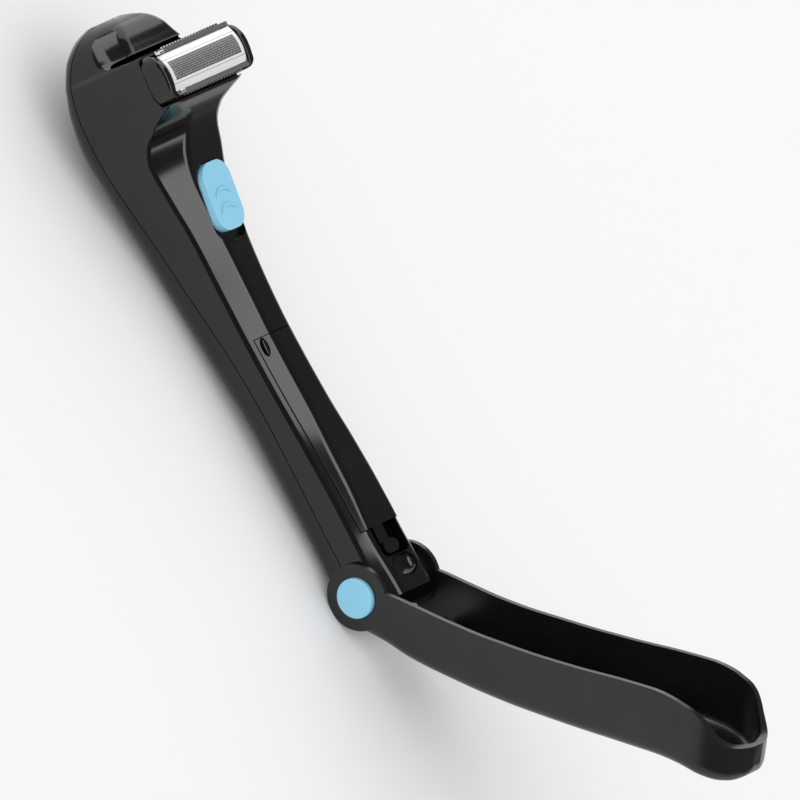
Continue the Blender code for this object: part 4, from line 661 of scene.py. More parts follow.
class BodyForm:
    """The body's outer form: one section of named sizes at every distance from the hinge axis."""

    NAMES = ("back", "seam", "side", "lip", "edge", "front", "flat", "corner")
    SIDE_EDGE = 0.0030
    DOME_EDGE = 0.0120
    DOME_START = 0.1900
    DOME_BLEND = 0.0050
    FRONT_EDGE = 0.0055

    def __init__(self) -> None:
        """Scales the table of shares once."""
        pairs = (HEAD_BACK_DEPTH, HEAD_HALF_WIDTH, SEAT_HEIGHT)
        scales = [size for size in pairs for _ in range(2)] + [HEAD_HALF_WIDTH, HEAD_CORNER_RADIUS]
        table = np.array(BODY_SECTIONS)
        self.stations = table[:, 0] * BODY_LENGTH
        self.columns = {name: table[:, i] * s for i, (name, s) in enumerate(zip(self.NAMES, scales), start=1)}

    def section(self, place: float) -> dict[str, float]:
        """The named sizes at one place.

        Args:
            place: distance from the hinge axis.

        Returns:
            Each of NAMES with its size, the sides drawn towards the ears near the hinge.
        """
        found = {name: hermite(self.stations, column, place) for name, column in self.columns.items()}
        fit = EAR_GAP / 2 - HINGE_SIDE_CLEARANCE - hermite(self.stations, self.columns["side"], 0)
        near_hinge = max(0.0, 1 - max(place, 0) / DOOR_END)
        found["side"] += fit * near_hinge
        found["lip"] += fit * near_hinge
        return found

    def front(self, place: float) -> float:
        """Height of the front face."""
        return self.section(place)["front"]

    def shoulder(self, place: float, y: float) -> float:
        """Height of the sloping shoulder.

        Args:
            place: distance from the hinge axis.
            y: distance from the middle.

        Returns:
            Its z there.
        """
        at = self.section(place)
        share = (y - at["flat"]) / (at["lip"] - at["flat"])
        return at["front"] + max(share, 0) * (at["edge"] - at["front"])

    def ring(self, place: float, inset: float = 0.0, steps: int = 7) -> list[Point]:
        """Closed outline (y, z) of the body here, drawn in by inset.

        Args:
            place: distance from the hinge axis.
            inset: how far inside the outer form.
            steps: how finely each corner is drawn.

        Returns:
            The outline, back to front and round again.
        """
        at = self.section(place)
        back = -at["back"] + inset
        side = at["side"] - inset
        across = at["corner"] - inset
        up = min(across, (at["seam"] - back) * CORNER_RISE_SHARE)
        dome = min(max((place - self.DOME_START) / self.DOME_BLEND, 0.0), 1.0)
        edge = self.SIDE_EDGE + (self.DOME_EDGE - self.SIDE_EDGE) * dome**2 * (3 - 2 * dome)
        turns = [math.pi * step / (4 * steps) for step in range(2 * steps + 1)]
        corner = [(side - across + across * math.sin(t), back + up - up * math.cos(t)) for t in turns]
        upper = (
            (side, at["seam"], 0),
            (at["lip"] - inset, at["edge"] - inset, edge),
            (at["flat"] - inset / 2, at["front"] - inset, self.FRONT_EDGE),
            (0, at["front"] - inset, 0),
        )
        return mirrored(corner + rounded(upper, steps)[:-1])


class HandleForm:
    """The handle's outer form along its own x."""

    CORNER = 0.0050

    def section(self, place: float) -> tuple[float, float, float]:
        """Outer half width, floor underside and rim height at this place."""
        table = np.array(HANDLE_SECTIONS)
        stations = table[:, 0] * HANDLE_LENGTH
        scales = (HANDLE_HALF_WIDTH, -HANDLE_DEPTH, HANDLE_DEPTH)
        half, low, rim = (hermite(stations, table[:, i] * s, place) for i, s in enumerate(scales, start=1))
        fit = EAR_GAP / 2 + EAR_WALL - table[0, 1] * HANDLE_HALF_WIDTH
        return half + fit * max(0.0, 1 - place / HANDLE_FLOOR_START), low, rim


class Workshop:
    """Makes fine pieces in one frame, with the hidden tools that cut them."""

    SHARP = math.radians(34)
    NUDGES = (0.0, 1.3e-6, -2.9e-6, 5.1e-6, -8.7e-6, 1.7e-5, -3.1e-5)
    NUDGE_SHARES = (1, 1.7, -0.6)
    ROUND_SIDES = 96
    EGG_SIDES = 64
    PILLOW_RINGS = 15
    SLACK = 0.005
    LEAST_LEFT = 0.02

    def __init__(self, place: Matrix) -> None:
        """Keeps the frame that every point is given in.

        Args:
            place: the frame's matrix in the world.
        """
        self.place = place
        self.tools: list[Object] = []

    def _object(self, name: str, shape: bmesh.types.BMesh, turn: Matrix | None, tool: bool) -> Object:
        """Turns a bmesh into an object that stands in the frame.

        Args:
            name: the object's name.
            shape: the bmesh, which is freed.
            turn: how it is moved in the frame first, if at all.
            tool: set where the object only cuts or is joined, and goes in the end.

        Returns:
            The object.
        """
        bmesh.ops.transform(shape, matrix=turn or Matrix(), verts=shape.verts[:])
        bmesh.ops.recalc_face_normals(shape, faces=shape.faces[:])
        mesh = bpy.data.meshes.new(name)
        shape.to_mesh(mesh)
        shape.free()
        made = bpy.data.objects.new(name, mesh)
        bpy.context.scene.collection.objects.link(made)
        made.matrix_world = self.place
        if tool:
            self.tools.append(made)
        return made

    def loft(self, name: str, places: Iterable[float], ring: Ring, tool: bool = True) -> Object:
        """Closed solid through outlines along x.

        Args:
            name: the object's name.
            places: the values of x.
            ring: gives the outline (y, z) at one of them.
            tool: set where it is only a tool.

        Returns:
            The object.
        """
        shape = bmesh.new()
        rings = [[shape.verts.new((x, y, z)) for y, z in ring(x)] for x in places]
        for first, second in zip(rings, rings[1:]):
            for i, start in enumerate(first):
                j = (i + 1) % len(first)
                shape.faces.new((start, first[j], second[j], second[i]))
        for cap in (rings[0], rings[-1]):
            bmesh.ops.triangulate(shape, faces=[shape.faces.new(cap)])
        return self._object(name, shape, None, tool)

    def box(self, name: str, size: Space, centre: Space, turn: Matrix | None = None, tool: bool = True) -> Object:
        """A block.

        Args:
            name: the object's name.
            size: along its own axes.
            centre: its middle.
            turn: how it is turned before it is moved there.
            tool: set where it is only a tool.

        Returns:
            The object.
        """
        shape = bmesh.new()
        bmesh.ops.create_cube(shape, size=1, matrix=Matrix.Diagonal((*size, 1)))
        return self._object(name, shape, Matrix.Translation(centre) @ (turn or Matrix()), tool)

    def drum(
        self, name: str, radius: float, length: float, centre: Space, across: bool, tool: bool = True
    ) -> Object:
        """A cylinder.

        Args:
            name: the object's name.
            radius: its radius.
            length: its length.
            centre: its middle.
            across: set where it lies along y, otherwise it stands along z.
            tool: set where it is only a tool.

        Returns:
            The object.
        """
        shape = bmesh.new()
        sizes = {"radius1": radius, "radius2": radius, "depth": length}
        bmesh.ops.create_cone(shape, cap_ends=True, segments=self.ROUND_SIDES, **sizes)
        turn = Matrix.Rotation(math.pi / 2, 4, "X") if across else Matrix()
        return self._object(name, shape, Matrix.Translation(centre) @ turn, tool)

    def prism(
        self, name: str, outline: Sequence[Point], ends: Point, turn: Matrix | None = None, tool: bool = True
    ) -> Object:
        """An outline with a thickness along z.

        Args:
            name: the object's name.
            outline: its points (x, y).
            ends: the lower and the upper z.
            turn: how it is moved in the frame first, if at all.
            tool: set where it is only a tool.

        Returns:
            The object.
        """
        shape = bmesh.new()
        low, high = ([shape.verts.new((x, y, z)) for x, y in outline] for z in ends)
        for i in range(len(outline)):
            j = (i + 1) % len(outline)
            shape.faces.new((low[i], low[j], high[j], high[i]))
        caps = [shape.faces.new(end) for end in (low, high)]
        bmesh.ops.triangulate(shape, faces=caps, ngon_method="EAR_CLIP")
        return self._object(name, shape, turn, tool)

    def slice(
        self, name: str, outline: Sequence[Point], half: float, middle: float = 0.0, tool: bool = True
    ) -> Object:
        """An outline with a thickness along y.

        Args:
            name: the object's name.
            outline: its points (x, z).
            half: half the thickness.
            middle: y of its middle.
            tool: set where it is only a tool.

        Returns:
            The object.
        """
        turn = Matrix.Translation((0, middle, 0)) @ Matrix.Rotation(math.pi / 2, 4, "X")
        return self.prism(name, outline, (-half, half), turn, tool)

    def egg(self, name: str, sizes: Space, centre: Space) -> Object:
        """An egg-shaped tool of these half sizes."""
        shape = bmesh.new()
        count = {"u_segments": self.EGG_SIDES, "v_segments": self.EGG_SIDES // 2}
        bmesh.ops.create_uvsphere(shape, radius=1, matrix=Matrix.Diagonal((*sizes, 1)), **count)
        return self._object(name, shape, Matrix.Translation(centre), True)

    def combine(self, target: Object, tool: Object, operation: str = "DIFFERENCE") -> None:
        """Takes one Boolean step and fixes it into the mesh.

        A tool that lies exactly along one of the target's faces is moved by a few thousandths of a millimetre.

        Args:
            target: the piece that is changed.
            tool: what it is cut by or joined to.
            operation: DIFFERENCE, UNION or INTERSECT.
        """
        for number, nudge in enumerate(self.NUDGES):
            shift = [share * nudge for share in self.NUDGE_SHARES]
            tool.matrix_world = self.place @ Matrix.Translation(shift)
            step = target.modifiers.new(tool.name, "BOOLEAN")
            step.object = tool
            step.operation = operation
            step.solver = "MANIFOLD"
            mesh = self._fixed(target)
            if self._sound(mesh, target, operation):
                break
            target.modifiers.remove(step)
            bpy.data.meshes.remove(mesh)
        else:
            LOG.warning("%s stays without %s", target.name, tool.name)
            return
        if number:
            LOG.info("%s took %s at try %d", target.name, tool.name, number + 1)
        target.modifiers.clear()
        target.data = mesh

    def _fixed(self, target: Object) -> Mesh:
        """A new mesh of the piece as its steps make it."""
        bpy.context.view_layer.update()
        graph = bpy.context.evaluated_depsgraph_get()
        return bpy.data.meshes.new_from_object(target.evaluated_get(graph))

    def _sound(self, mesh: Mesh, target: Object, operation: str) -> bool:
        """Whether a step left a closed solid of a likely size.

        Args:
            mesh: what the step made.
            target: the piece as it was before.
            operation: the step's operation.

        Returns:
            True where the step can be kept.
        """
        shape = bmesh.new()
        shape.from_mesh(mesh)
        volume = shape.calc_volume()
        whole = len(shape.faces) > 0 and all(edge.is_manifold for edge in shape.edges)
        shape.free()
        before = bmesh.new()
        before.from_mesh(target.data)
        start = before.calc_volume()
        before.free()
        if operation == "UNION":
            return whole and volume >= start * (1 - self.SLACK)
        return whole and self.LEAST_LEFT * start < volume <= start * (1 + self.SLACK)

    def pillow(self, name: str, outline: Sequence[Point], half: float, edge: float, middle: float) -> Object:
        """A convex outline with a thickness along y and both its rims rounded.

        Args:
            name: the object's name.
            outline: its points (x, z).
            half: half the thickness.
            edge: how far the rims are rounded.
            middle: y of its middle.

        Returns:
            The tool.
        """
        count = len(outline)
        foot = min(z for _, z in outline)
        reach = max(abs(x) for x, _ in outline)
        height = max(z for _, z in outline) - foot
        shape = bmesh.new()
        rings = []
        for step in range(self.PILLOW_RINGS):
            share = 2 * step / (self.PILLOW_RINGS - 1) - 1
            turn = math.pi / 2 * share
            inset = edge * (1 - math.cos(turn))
            y = middle + math.copysign(half - edge, share) + edge * math.sin(turn) if share else middle
            shrunk = [(x * (1 - inset / reach), foot + (z - foot) * (1 - inset / height)) for x, z in outline]
            rings.append([shape.verts.new((x, y, z)) for x, z in shrunk])
        for first, second in zip(rings, rings[1:]):
            for i in range(count):
                j = (i + 1) % count
                shape.faces.new((first[i], first[j], second[j], second[i]))
        for cap in (rings[0], rings[-1]):
            bmesh.ops.triangulate(shape, faces=[shape.faces.new(cap)])
        return self._object(name, shape, None, True)

    @staticmethod
    def soften(target: Object, width: float, segments: int = 3, angle: float = 40.0) -> None:
        """Rounds the edges that are sharper than an angle.

        Args:
            target: the piece.
            width: how far back each edge is cut.
            segments: how finely.
            angle: the angle in degrees.
        """
        edge = target.modifiers.new("rounded_edges", "BEVEL")
        edge.width = width
        edge.segments = segments
        edge.limit_method = "ANGLE"
        edge.angle_limit = math.radians(angle)
        edge.harden_normals = False

    def finish(self, target: Object, finish: Finish, body: str, *nodes: str) -> Object:
        """Fixes the steps into the mesh, dresses it and gives it to its body.

        Args:
            target: the piece.
            finish: what it is made of.
            body: the CAD body that it moves with.
            nodes: the solids that it stands for.

        Returns:
            The same piece.
        """
        mesh = self._fixed(target)
        target.modifiers.clear()
        target.data = mesh
        mesh.materials.clear()
        mesh.materials.append(finish.material())
        mesh.shade_smooth()
        mesh.set_sharp_from_angle(angle=self.SHARP)
        even = target.modifiers.new("even_normals", "WEIGHTED_NORMAL")
        even.keep_sharp = True
        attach(target, body)
        if nodes:
            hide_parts(*nodes)
        LOG.info("made %s, %d faces", target.name, len(mesh.polygons))
        return target

    def clear(self) -> None:
        """Takes away the tools once every piece is finished."""
        for tool in self.tools:
            bpy.data.objects.remove(tool, do_unlink=True)
        self.tools = []


def rounded_rectangle(half_length: float, half_width: float, radius: float, steps: int = 12) -> list[Point]:
    """A rectangle with round corners.

    Args:
        half_length: half its size along x.
        half_width: half its size along y.
        radius: of its corners.
        steps: how many pieces each corner has.

    Returns:
        The outline (x, y).
    """
    points = []
    for x_sign, y_sign, start in ((1, 1, 0), (-1, 1, 90), (-1, -1, 180), (1, -1, 270)):
        for step in range(steps + 1):
            angle = math.radians(start + 90 * step / steps)
            x = x_sign * (half_length - radius) + radius * math.cos(angle)
            points.append((x, y_sign * (half_width - radius) + radius * math.sin(angle)))
    return points


def nose_outline(radius: float, lip_reach: float) -> list[Point]:
    """Side view of what is kept of the body at its hinge end: a square front lip, then round about the axis.

    Args:
        radius: the round end's radius.
        lip_reach: how far the lip stands out over the axis.

    Returns:
        The outline (x, z), open towards the head.
    """
    lip_angle = math.acos(lip_reach / radius)
    arc = [lip_angle - (lip_angle + NOSE_ARC) * i / NOSE_STEPS for i in range(NOSE_STEPS + 1)]
    points = [(-PASS_FAR, PASS_ALL), (lip_reach, PASS_ALL)]
    points += [(radius * math.cos(angle), radius * math.sin(angle)) for angle in arc]
    return [*points, (0, -radius - FIT_GAP), (-radius, -PASS_ALL), (-PASS_FAR, -PASS_ALL)]


@dataclass
class Casing:
    """Rear and front shells of the body, with everything that is let into them."""

    form: BodyForm
    shop: Workshop

    def build(self) -> None:
        """Makes both shells."""
        hollow = self._hollow()
        knuckle = self.form.section(0)["back"]
        nose = self.shop.slice("nose_keep", nose_outline(knuckle, LIP_REACH), PASS_ALL)
        for name, shift, operation in (
            ("rear_shell_skin", -SEAM_GAP / 2, "INTERSECT"),
            ("front_shell_skin", SEAM_GAP / 2, "DIFFERENCE"),
        ):
            shell = self._block(name, 0.0)
            self.shop.combine(shell, self._below_seam(name, shift), operation)
            self.shop.combine(shell, nose, "INTERSECT")
            self.shop.combine(shell, self._seat(name, 0.0))
            self.shop.combine(shell, hollow)
            self._bores(shell)
            if operation == "DIFFERENCE":
                self._front_openings(shell)
            else:
                self._screw_holes(shell)
            self.shop.finish(shell, GLOSS_BLACK, "casing", name.removesuffix("_skin"))

    def _block(self, name: str, inset: float) -> Object:
        """The body's solid, or its hollow with an inset.

        Args:
            name: the object's name.
            inset: how far inside the outer form, 0 for the solid.

        Returns:
            The object, which is a tool where it has an inset.
        """
        if inset:
            places = [*np.arange(*HOLLOW_RUN), *HOLLOW_END]
        else:
            places = [*np.arange(*BODY_RUN), *np.arange(*HEAD_RUN), *np.linspace(*HEAD_END)]
        steps = 2 if inset else 6
        return self.shop.loft(name, [-p for p in places], lambda x: self.form.ring(-x, inset, steps), bool(inset))

    def _hollow(self) -> Object:
        """The room inside the shells."""
        hollow = self._block("hollow", SHELL_WALL)
        reach = self.form.section(0)["back"] - SHELL_WALL
        keep = self.shop.slice("hollow_keep", nose_outline(reach, LIP_REACH - SHELL_WALL), PASS_ALL)
        self.shop.combine(hollow, keep, "INTERSECT")
        self.shop.combine(hollow, self._seat("hollow", SHELL_WALL))
        floor = self.form.front(POCKET_START) - POCKET_DEPTH - POCKET_WALL
        end = -DOOR_START - SHELL_WALL
        outline = ((PASS, CORE_ROOM), (-POCKET_EDGE, CORE_ROOM), (-POCKET_START, floor))
        outline += ((end, floor), (end, PASS_DEEP), (PASS, PASS_DEEP))
        self.shop.combine(hollow, self.shop.slice("pocket_block", outline, POCKET_HALF_WIDTH + POCKET_WALL))
        length = SWITCH_LENGTH + SWITCH_TRAVEL + 4 * SHELL_WALL
        size = (length, 2 * (SWITCH_HALF_WIDTH + SHELL_WALL), PASS_DEEP)
        turn = Switch.turn(self.form)
        centre = Switch.at(self.form, SWITCH_TRAVEL / 2, PASS_DEEP / 2 - SWITCH_RECESS_DEPTH - POCKET_WALL)
        self.shop.combine(hollow, self.shop.box("switch_block", size, centre, turn))
        return hollow

    def _seat(self, name: str, wall: float) -> Object:
        """Everything above the cassette's seat, from the ridge before it to the drop behind it.

        Args:
            name: the piece that it cuts.
            wall: how much wider and deeper it is for the hollow.

        Returns:
            The tool.
        """
        near = HEAD_CENTRE - CASSETTE_HALF_LENGTH - FIT_GAP - wall
        far = HEAD_CENTRE + CASSETTE_HALF_LENGTH + SEAT_OVERHANG + wall
        centre = (-(near + far) / 2, 0, SEAT_HEIGHT - wall + PASS_DEEP / 2)
        return self.shop.box(name + "_seat", (far - near, PASS_WIDE, PASS_DEEP), centre)

    def _below_seam(self, name: str, shift: float) -> Object:
        """Everything below the seam, moved by shift."""
        places = np.linspace(-BODY_TIP, BODY_LENGTH, SEAM_STEPS)
        line = [(-p, self.form.section(p)["seam"] + shift) for p in places]
        line = [(line[0][0] + PASS, line[0][1]), *line, (line[-1][0] - PASS, line[-1][1])]
        return self.shop.slice(name + "_seam", [*line, (line[-1][0], -PASS_ALL), (line[0][0], -PASS_ALL)], PASS_ALL)

    def _bores(self, shell: Object) -> None:
        """Counterbores for the ears' collars and the bore for the hinge's core."""
        room = EAR_GAP - 2 * COLLAR_DEPTH
        self.shop.combine(shell, self.shop.drum(shell.name + "_core", CORE_ROOM, room, (0, 0, 0), True))
        for side in Across:
            centre = (0, side.value * (EAR_GAP / 2 + BORE_PASS - BORE_SINK), 0)
            radius = BUTTON_BORE + COLLAR_WALL + FIT_GAP
            self.shop.combine(shell, self.shop.drum(shell.name + side.name, radius, BORE_DEPTH, centre, True))

    def _front_openings(self, shell: Object) -> None:
        """Battery opening, latch pocket with its scoop, switch recess and the hole in the seat."""
        shop = self.shop
        half = DOOR_HALF_WIDTH + DOOR_CLEARANCE
        low = self.form.shoulder(DOOR_END, DOOR_HALF_WIDTH) - DOOR_THICKNESS - FIT_GAP
        size = (DOOR_END - DOOR_START + 2 * DOOR_CLEARANCE, 2 * half, PASS_DEEP)
        shop.combine(shell, shop.box("door_opening", size, (-(DOOR_END + DOOR_START) / 2, 0, low + PASS_DEEP / 2)))
        floor = self.form.front(POCKET_START) - POCKET_DEPTH
        length = DOOR_START + LATCH_OVERLAP - POCKET_START
        pocket = rounded_rectangle(length / 2, POCKET_HALF_WIDTH, POCKET_CORNER, steps=6)
        centre = Matrix.Translation((-POCKET_START - length / 2, 0, 0))
        shop.combine(shell, shop.prism("latch_pocket", pocket, (floor, PASS_DEEP), centre))
        shop.combine(shell, shop.egg("scoop", SCOOP_SIZES, (-SCOOP_CENTRE, 0, self.form.front(SCOOP_CENTRE))))
        turn = Switch.turn(self.form)
        half = (SWITCH_LENGTH + SWITCH_TRAVEL) / 2 + SWITCH_SIDE_GAP
        recess = rounded_rectangle(half, SWITCH_HALF_WIDTH + SWITCH_SIDE_GAP, SWITCH_CORNER)
        place = Matrix.Translation(Switch.at(self.form, SWITCH_TRAVEL / 2, 0)) @ turn
        shop.combine(shell, shop.prism("switch_recess", recess, (-SWITCH_RECESS_DEPTH, PASS_DEEP), place))
        centre = Switch.at(self.form, SWITCH_TRAVEL / 2, -SWITCH_RECESS_DEPTH)
        shop.combine(shell, shop.box("stem_slot", STEM_SLOT, centre, turn))
        shop.combine(shell, shop.box("seat_hole", SEAT_HOLE, (-HEAD_CENTRE, 0, SEAT_HEIGHT)))

    def _screw_holes(self, shell: Object) -> None:
        """Sunk holes for the three casing screws, each a seat, a sink and a hole."""
        steps = {"seat": SCREW_SEAT, "sink": SCREW_SINK, "hole": SCREW_HOLE}
        for number, (along, across) in enumerate(SCREWS):
            place, y = along * BODY_LENGTH, across * HEAD_HALF_WIDTH
            back = -self.form.section(place)["back"]
            for kind, (radius, length, rise) in steps.items():
                drum = self.shop.drum(f"screw_{kind}_{number}", radius, length, (-place, y, back + rise), False)
                self.shop.combine(shell, drum, "UNION" if kind == "seat" else "DIFFERENCE")


@dataclass
class Door:
    """Battery door with its latch."""

    form: BodyForm
    shop: Workshop

    def _rise(self, place: float) -> float:
        """How far the door stands out of the front face here."""
        return DOOR_RISE * (DOOR_END - place) / (DOOR_END - DOOR_START)

    def _ring(self, x: float) -> list[Point]:
        """Outline (y, z) of the door: the body's front with one thickness."""
        at = self.form.section(-x)
        rim = self.form.shoulder(-x, DOOR_HALF_WIDTH) + self._rise(-x)
        top = at["front"] + self._rise(-x)
        corners = ((DOOR_HALF_WIDTH, rim, 0), (at["flat"], top, BodyForm.FRONT_EDGE), (0, top, 0))
        outer = mirrored(rounded(corners, 8)[:-1])
        return [*outer, *((y, z - DOOR_THICKNESS) for y, z in reversed(outer))]

    def build(self) -> None:
        """Makes the door."""
        shop = self.shop
        places = [-p for p in np.linspace(DOOR_START, DOOR_END, DOOR_STEPS)]
        door = shop.loft("battery_door_skin", places, self._ring, False)
        shop.soften(door, DOOR_EDGE, segments=2, angle=60.0)
        front = self.form.front(DOOR_START)
        middle = front - LATCH_DROP
        neck = shop.box("latch_neck", LATCH_NECK, (-DOOR_START - LATCH_OVERLAP + LATCH_NECK[0] / 2, 0, middle))
        shop.combine(door, neck, "UNION")
        centre = (-DOOR_START - LATCH_RISER[0], 0, middle + LATCH_RISER[2] / 2)
        shop.combine(door, shop.box("latch_riser", LATCH_RISER, centre), "UNION")
        pad = rounded_rectangle(*LATCH_PAD)
        place = Matrix.Translation((-DOOR_START + LATCH_LENGTH - LATCH_PAD[0], 0, 0))
        tip = shop.prism("latch_pad", pad, tuple(front - sunk for sunk in LATCH_PAD_ENDS), place)
        shop.soften(tip, LATCH_EDGE)
        shop.combine(door, tip, "UNION")
        place = DOOR_END - NOTCH_INSET[0]
        y = -DOOR_HALF_WIDTH + NOTCH_INSET[1]
        z = self.form.shoulder(place, -y) + self._rise(place)
        shop.combine(door, shop.egg("nail_notch", NOTCH_SIZES, (-place, y, z)))
        shop.finish(door, GLOSS_BLACK, "door", "battery_door")


@dataclass
class Switch:
    """Slide switch with two raised crescents for the thumb."""

    form: BodyForm
    shop: Workshop
    arc_radius: float = 0.0054
    arc_spacing: float = 0.0056
    arc_depth: float = 0.0010
    arc_ends: Point = (-0.0006, 0.0004)
    arc_block: Point = (0.5, 1.5)

    @staticmethod
    def slope(form: BodyForm) -> float:
        """Angle by which the front face rises along the switch."""
        low, high = (form.front(SWITCH_CENTRE + sign * SWITCH_LENGTH / 2) for sign in (-1, 1))
        return math.atan2(high - low, SWITCH_LENGTH)

    @staticmethod
    def turn(form: BodyForm) -> Matrix:
        """The matrix that lays a piece along the front face there."""
        return Matrix.Rotation(Switch.slope(form), 4, "Y")

    @staticmethod
    def at(form: BodyForm, along: float, out: float) -> Space:
        """A place given by the switch's slope.

        Args:
            form: the body's form.
            along: how far along the slope, towards the hinge.
            out: how far out of it.

        Returns:
            The place in the body's frame.
        """
        slope = Switch.slope(form)
        height = sum(form.front(SWITCH_CENTRE + sign * SWITCH_LENGTH / 2) for sign in (-1, 1)) / 2
        x = -SWITCH_CENTRE + along * math.cos(slope) + out * math.sin(slope)
        return (x, 0.0, height - along * math.sin(slope) + out * math.cos(slope))

    def build(self) -> None:
        """Makes the switch."""
        shop = self.shop
        turn = self.turn(self.form)
        outline = rounded_rectangle(SWITCH_LENGTH / 2, SWITCH_HALF_WIDTH, SWITCH_CORNER)
        ends = (-SWITCH_RECESS_DEPTH + FIT_GAP, SWITCH_RISE)
        place = Matrix.Translation(self.at(self.form, 0, 0)) @ turn
        slider = shop.prism("switch_slider_skin", outline, ends, place, False)
        shop.soften(slider, SWITCH_EDGE, segments=5)
        stem = shop.box("switch_stem", STEM_SIZE, self.at(self.form, 0, -STEM_DROP), turn)
        shop.combine(slider, stem, "UNION")
        for number, along in enumerate((-self.arc_spacing / 2, self.arc_spacing / 2)):
            centre = Matrix.Translation(self.at(self.form, along + self.arc_radius, 0)) @ turn
            ridge = self._crescent(f"crescent_{number}", centre)
            shop.combine(slider, ridge, "UNION")
        shop.finish(slider, SKY_BLUE, "switch", "switch_slider")

    def _crescent(self, name: str, place: Matrix) -> Object:
        """One raised crescent, thin at both tips: a disc, less a shifted one and less the far part.

        Args:
            name: the ridge's name.
            place: the middle of its arc.

        Returns:
            The ridge, as a tool to be joined.
        """
        ends = tuple(SWITCH_RISE + reach for reach in self.arc_ends)
        through = (ends[0] - BORE_PASS, ends[1] + BORE_PASS)
        sides = Workshop.ROUND_SIDES
        turns = [math.tau * step / sides for step in range(sides)]
        disc = [(self.arc_radius * math.cos(turn), self.arc_radius * math.sin(turn)) for turn in turns]
        ridge = self.shop.prism(name, disc, ends, place)
        hollow = [(self.arc_depth + x, y) for x, y in disc]
        self.shop.combine(ridge, self.shop.prism(name + "_hollow", hollow, through, place))
        end, side = (self.arc_radius * share for share in self.arc_block)
        block = [(-end, -side), (side, -side), (side, side), (-end, side)]
        self.shop.combine(ridge, self.shop.prism(name + "_end", block, through, place))
        return ridge


@dataclass
class Handle:
    """Channel handle with two round ears."""

    form: HandleForm
    shop: Workshop
    rim_edge: float = 0.00065

    def _ring(self, x: float) -> list[Point]:
        """Outer outline (y, z)."""
        half, low, rim = self.form.section(x)
        return mirrored(rounded(((0, low, 0), (half, low, HandleForm.CORNER), (half, rim, 0)), 8)[1:])

    def _hollow_ring(self, x: float) -> list[Point]:
        """Outline (y, z) of what is taken out, which closes early at the far end."""
        ahead = min(x + HANDLE_WALL * (x / HANDLE_LENGTH) ** HANDLE_END_POWER, HANDLE_LENGTH)
        half, low, rim = self.form.section(ahead)
        half -= HANDLE_WALL
        low += HANDLE_WALL
        corners = ((0, low, 0), (half, low, HandleForm.CORNER - HANDLE_WALL), (half, rim + HANDLE_DEPTH, 0))
        return mirrored(rounded(corners, 8)[1:])

    def build(self) -> None:
        """Makes the channel."""
        shop = self.shop
        places = [*np.arange(*HANDLE_RUN), *np.arange(*HANDLE_BEND), *np.linspace(*HANDLE_END)]
        channel = shop.loft("handle_channel_skin", places, self._ring, False)
        width = EAR_GAP + 2 * EAR_WALL
        shop.combine(channel, shop.drum("ears", EAR_RADIUS, width, (0, 0, 0), True), "UNION")
        end = HANDLE_LENGTH - HANDLE_WALL
        inside = [HANDLE_FLOOR_START, *(p for p in places if HANDLE_FLOOR_START < p < end - HANDLE_WALL / 2), end]
        shop.combine(channel, shop.loft("channel_hollow", inside, self._hollow_ring))
        length = HANDLE_FLOOR_START + EAR_RADIUS + EAR_PASS
        size = (length, EAR_GAP, 4 * EAR_RADIUS)
        shop.combine(channel, shop.box("ear_gap", size, (HANDLE_FLOOR_START - length / 2 + EAR_GAP_REACH, 0, 0)))
        shop.soften(channel, self.rim_edge, segments=4, angle=55.0)
        for side in Across:
            length = COLLAR_DEPTH + EAR_WALL / 2
            centre = (0, side.value * (EAR_GAP / 2 - COLLAR_DEPTH + length / 2), 0)
            collar = shop.drum(f"collar_{side.name}", BUTTON_BORE + COLLAR_WALL, length, centre, True)
            shop.combine(channel, collar, "UNION")
        shop.combine(channel, shop.drum("button_bore", BUTTON_BORE, width + 2 * EAR_PASS, (0, 0, 0), True))
        shop.finish(channel, SATIN_BLACK, "handle", "handle_channel")
        for side in Across:
            self._button(side)

    def _button(self, side: Across) -> None:
        """One push button with its toothed spindle."""
        shop = self.shop
        name = "hinge_button_" + side.name.lower()
        inner = EAR_GAP / 2 - COLLAR_DEPTH - BUTTON_ROOM - HINGE_SIDE_CLEARANCE + BUTTON_SEAT
        outer = EAR_GAP / 2 + EAR_WALL + BUTTON_RISE
        centre = (0, side.value * (inner + outer) / 2, 0)
        button = shop.drum(name + "_skin", BUTTON_RADIUS, outer - inner, centre, True, False)
        shop.soften(button, BUTTON_EDGE, segments=4)
        teeth = []
        for i in range(TOOTH_COUNT):
            for share, rise in TOOTH_FORM:
                angle = 2 * math.pi * (i + share) / TOOTH_COUNT
                radius = SPINDLE_RADIUS + rise * TOOTH_HEIGHT
                teeth.append((radius * math.cos(angle), radius * math.sin(angle)))
        half = ((inner + outer) / 2 - SPINDLE_END) / 2
        spindle = shop.slice(f"spindle_{side.name}", teeth, half, side.value * (SPINDLE_END + half))
        shop.combine(button, spindle, "UNION")
        shop.finish(button, SKY_BLUE, side.name.lower() + "_button", name)


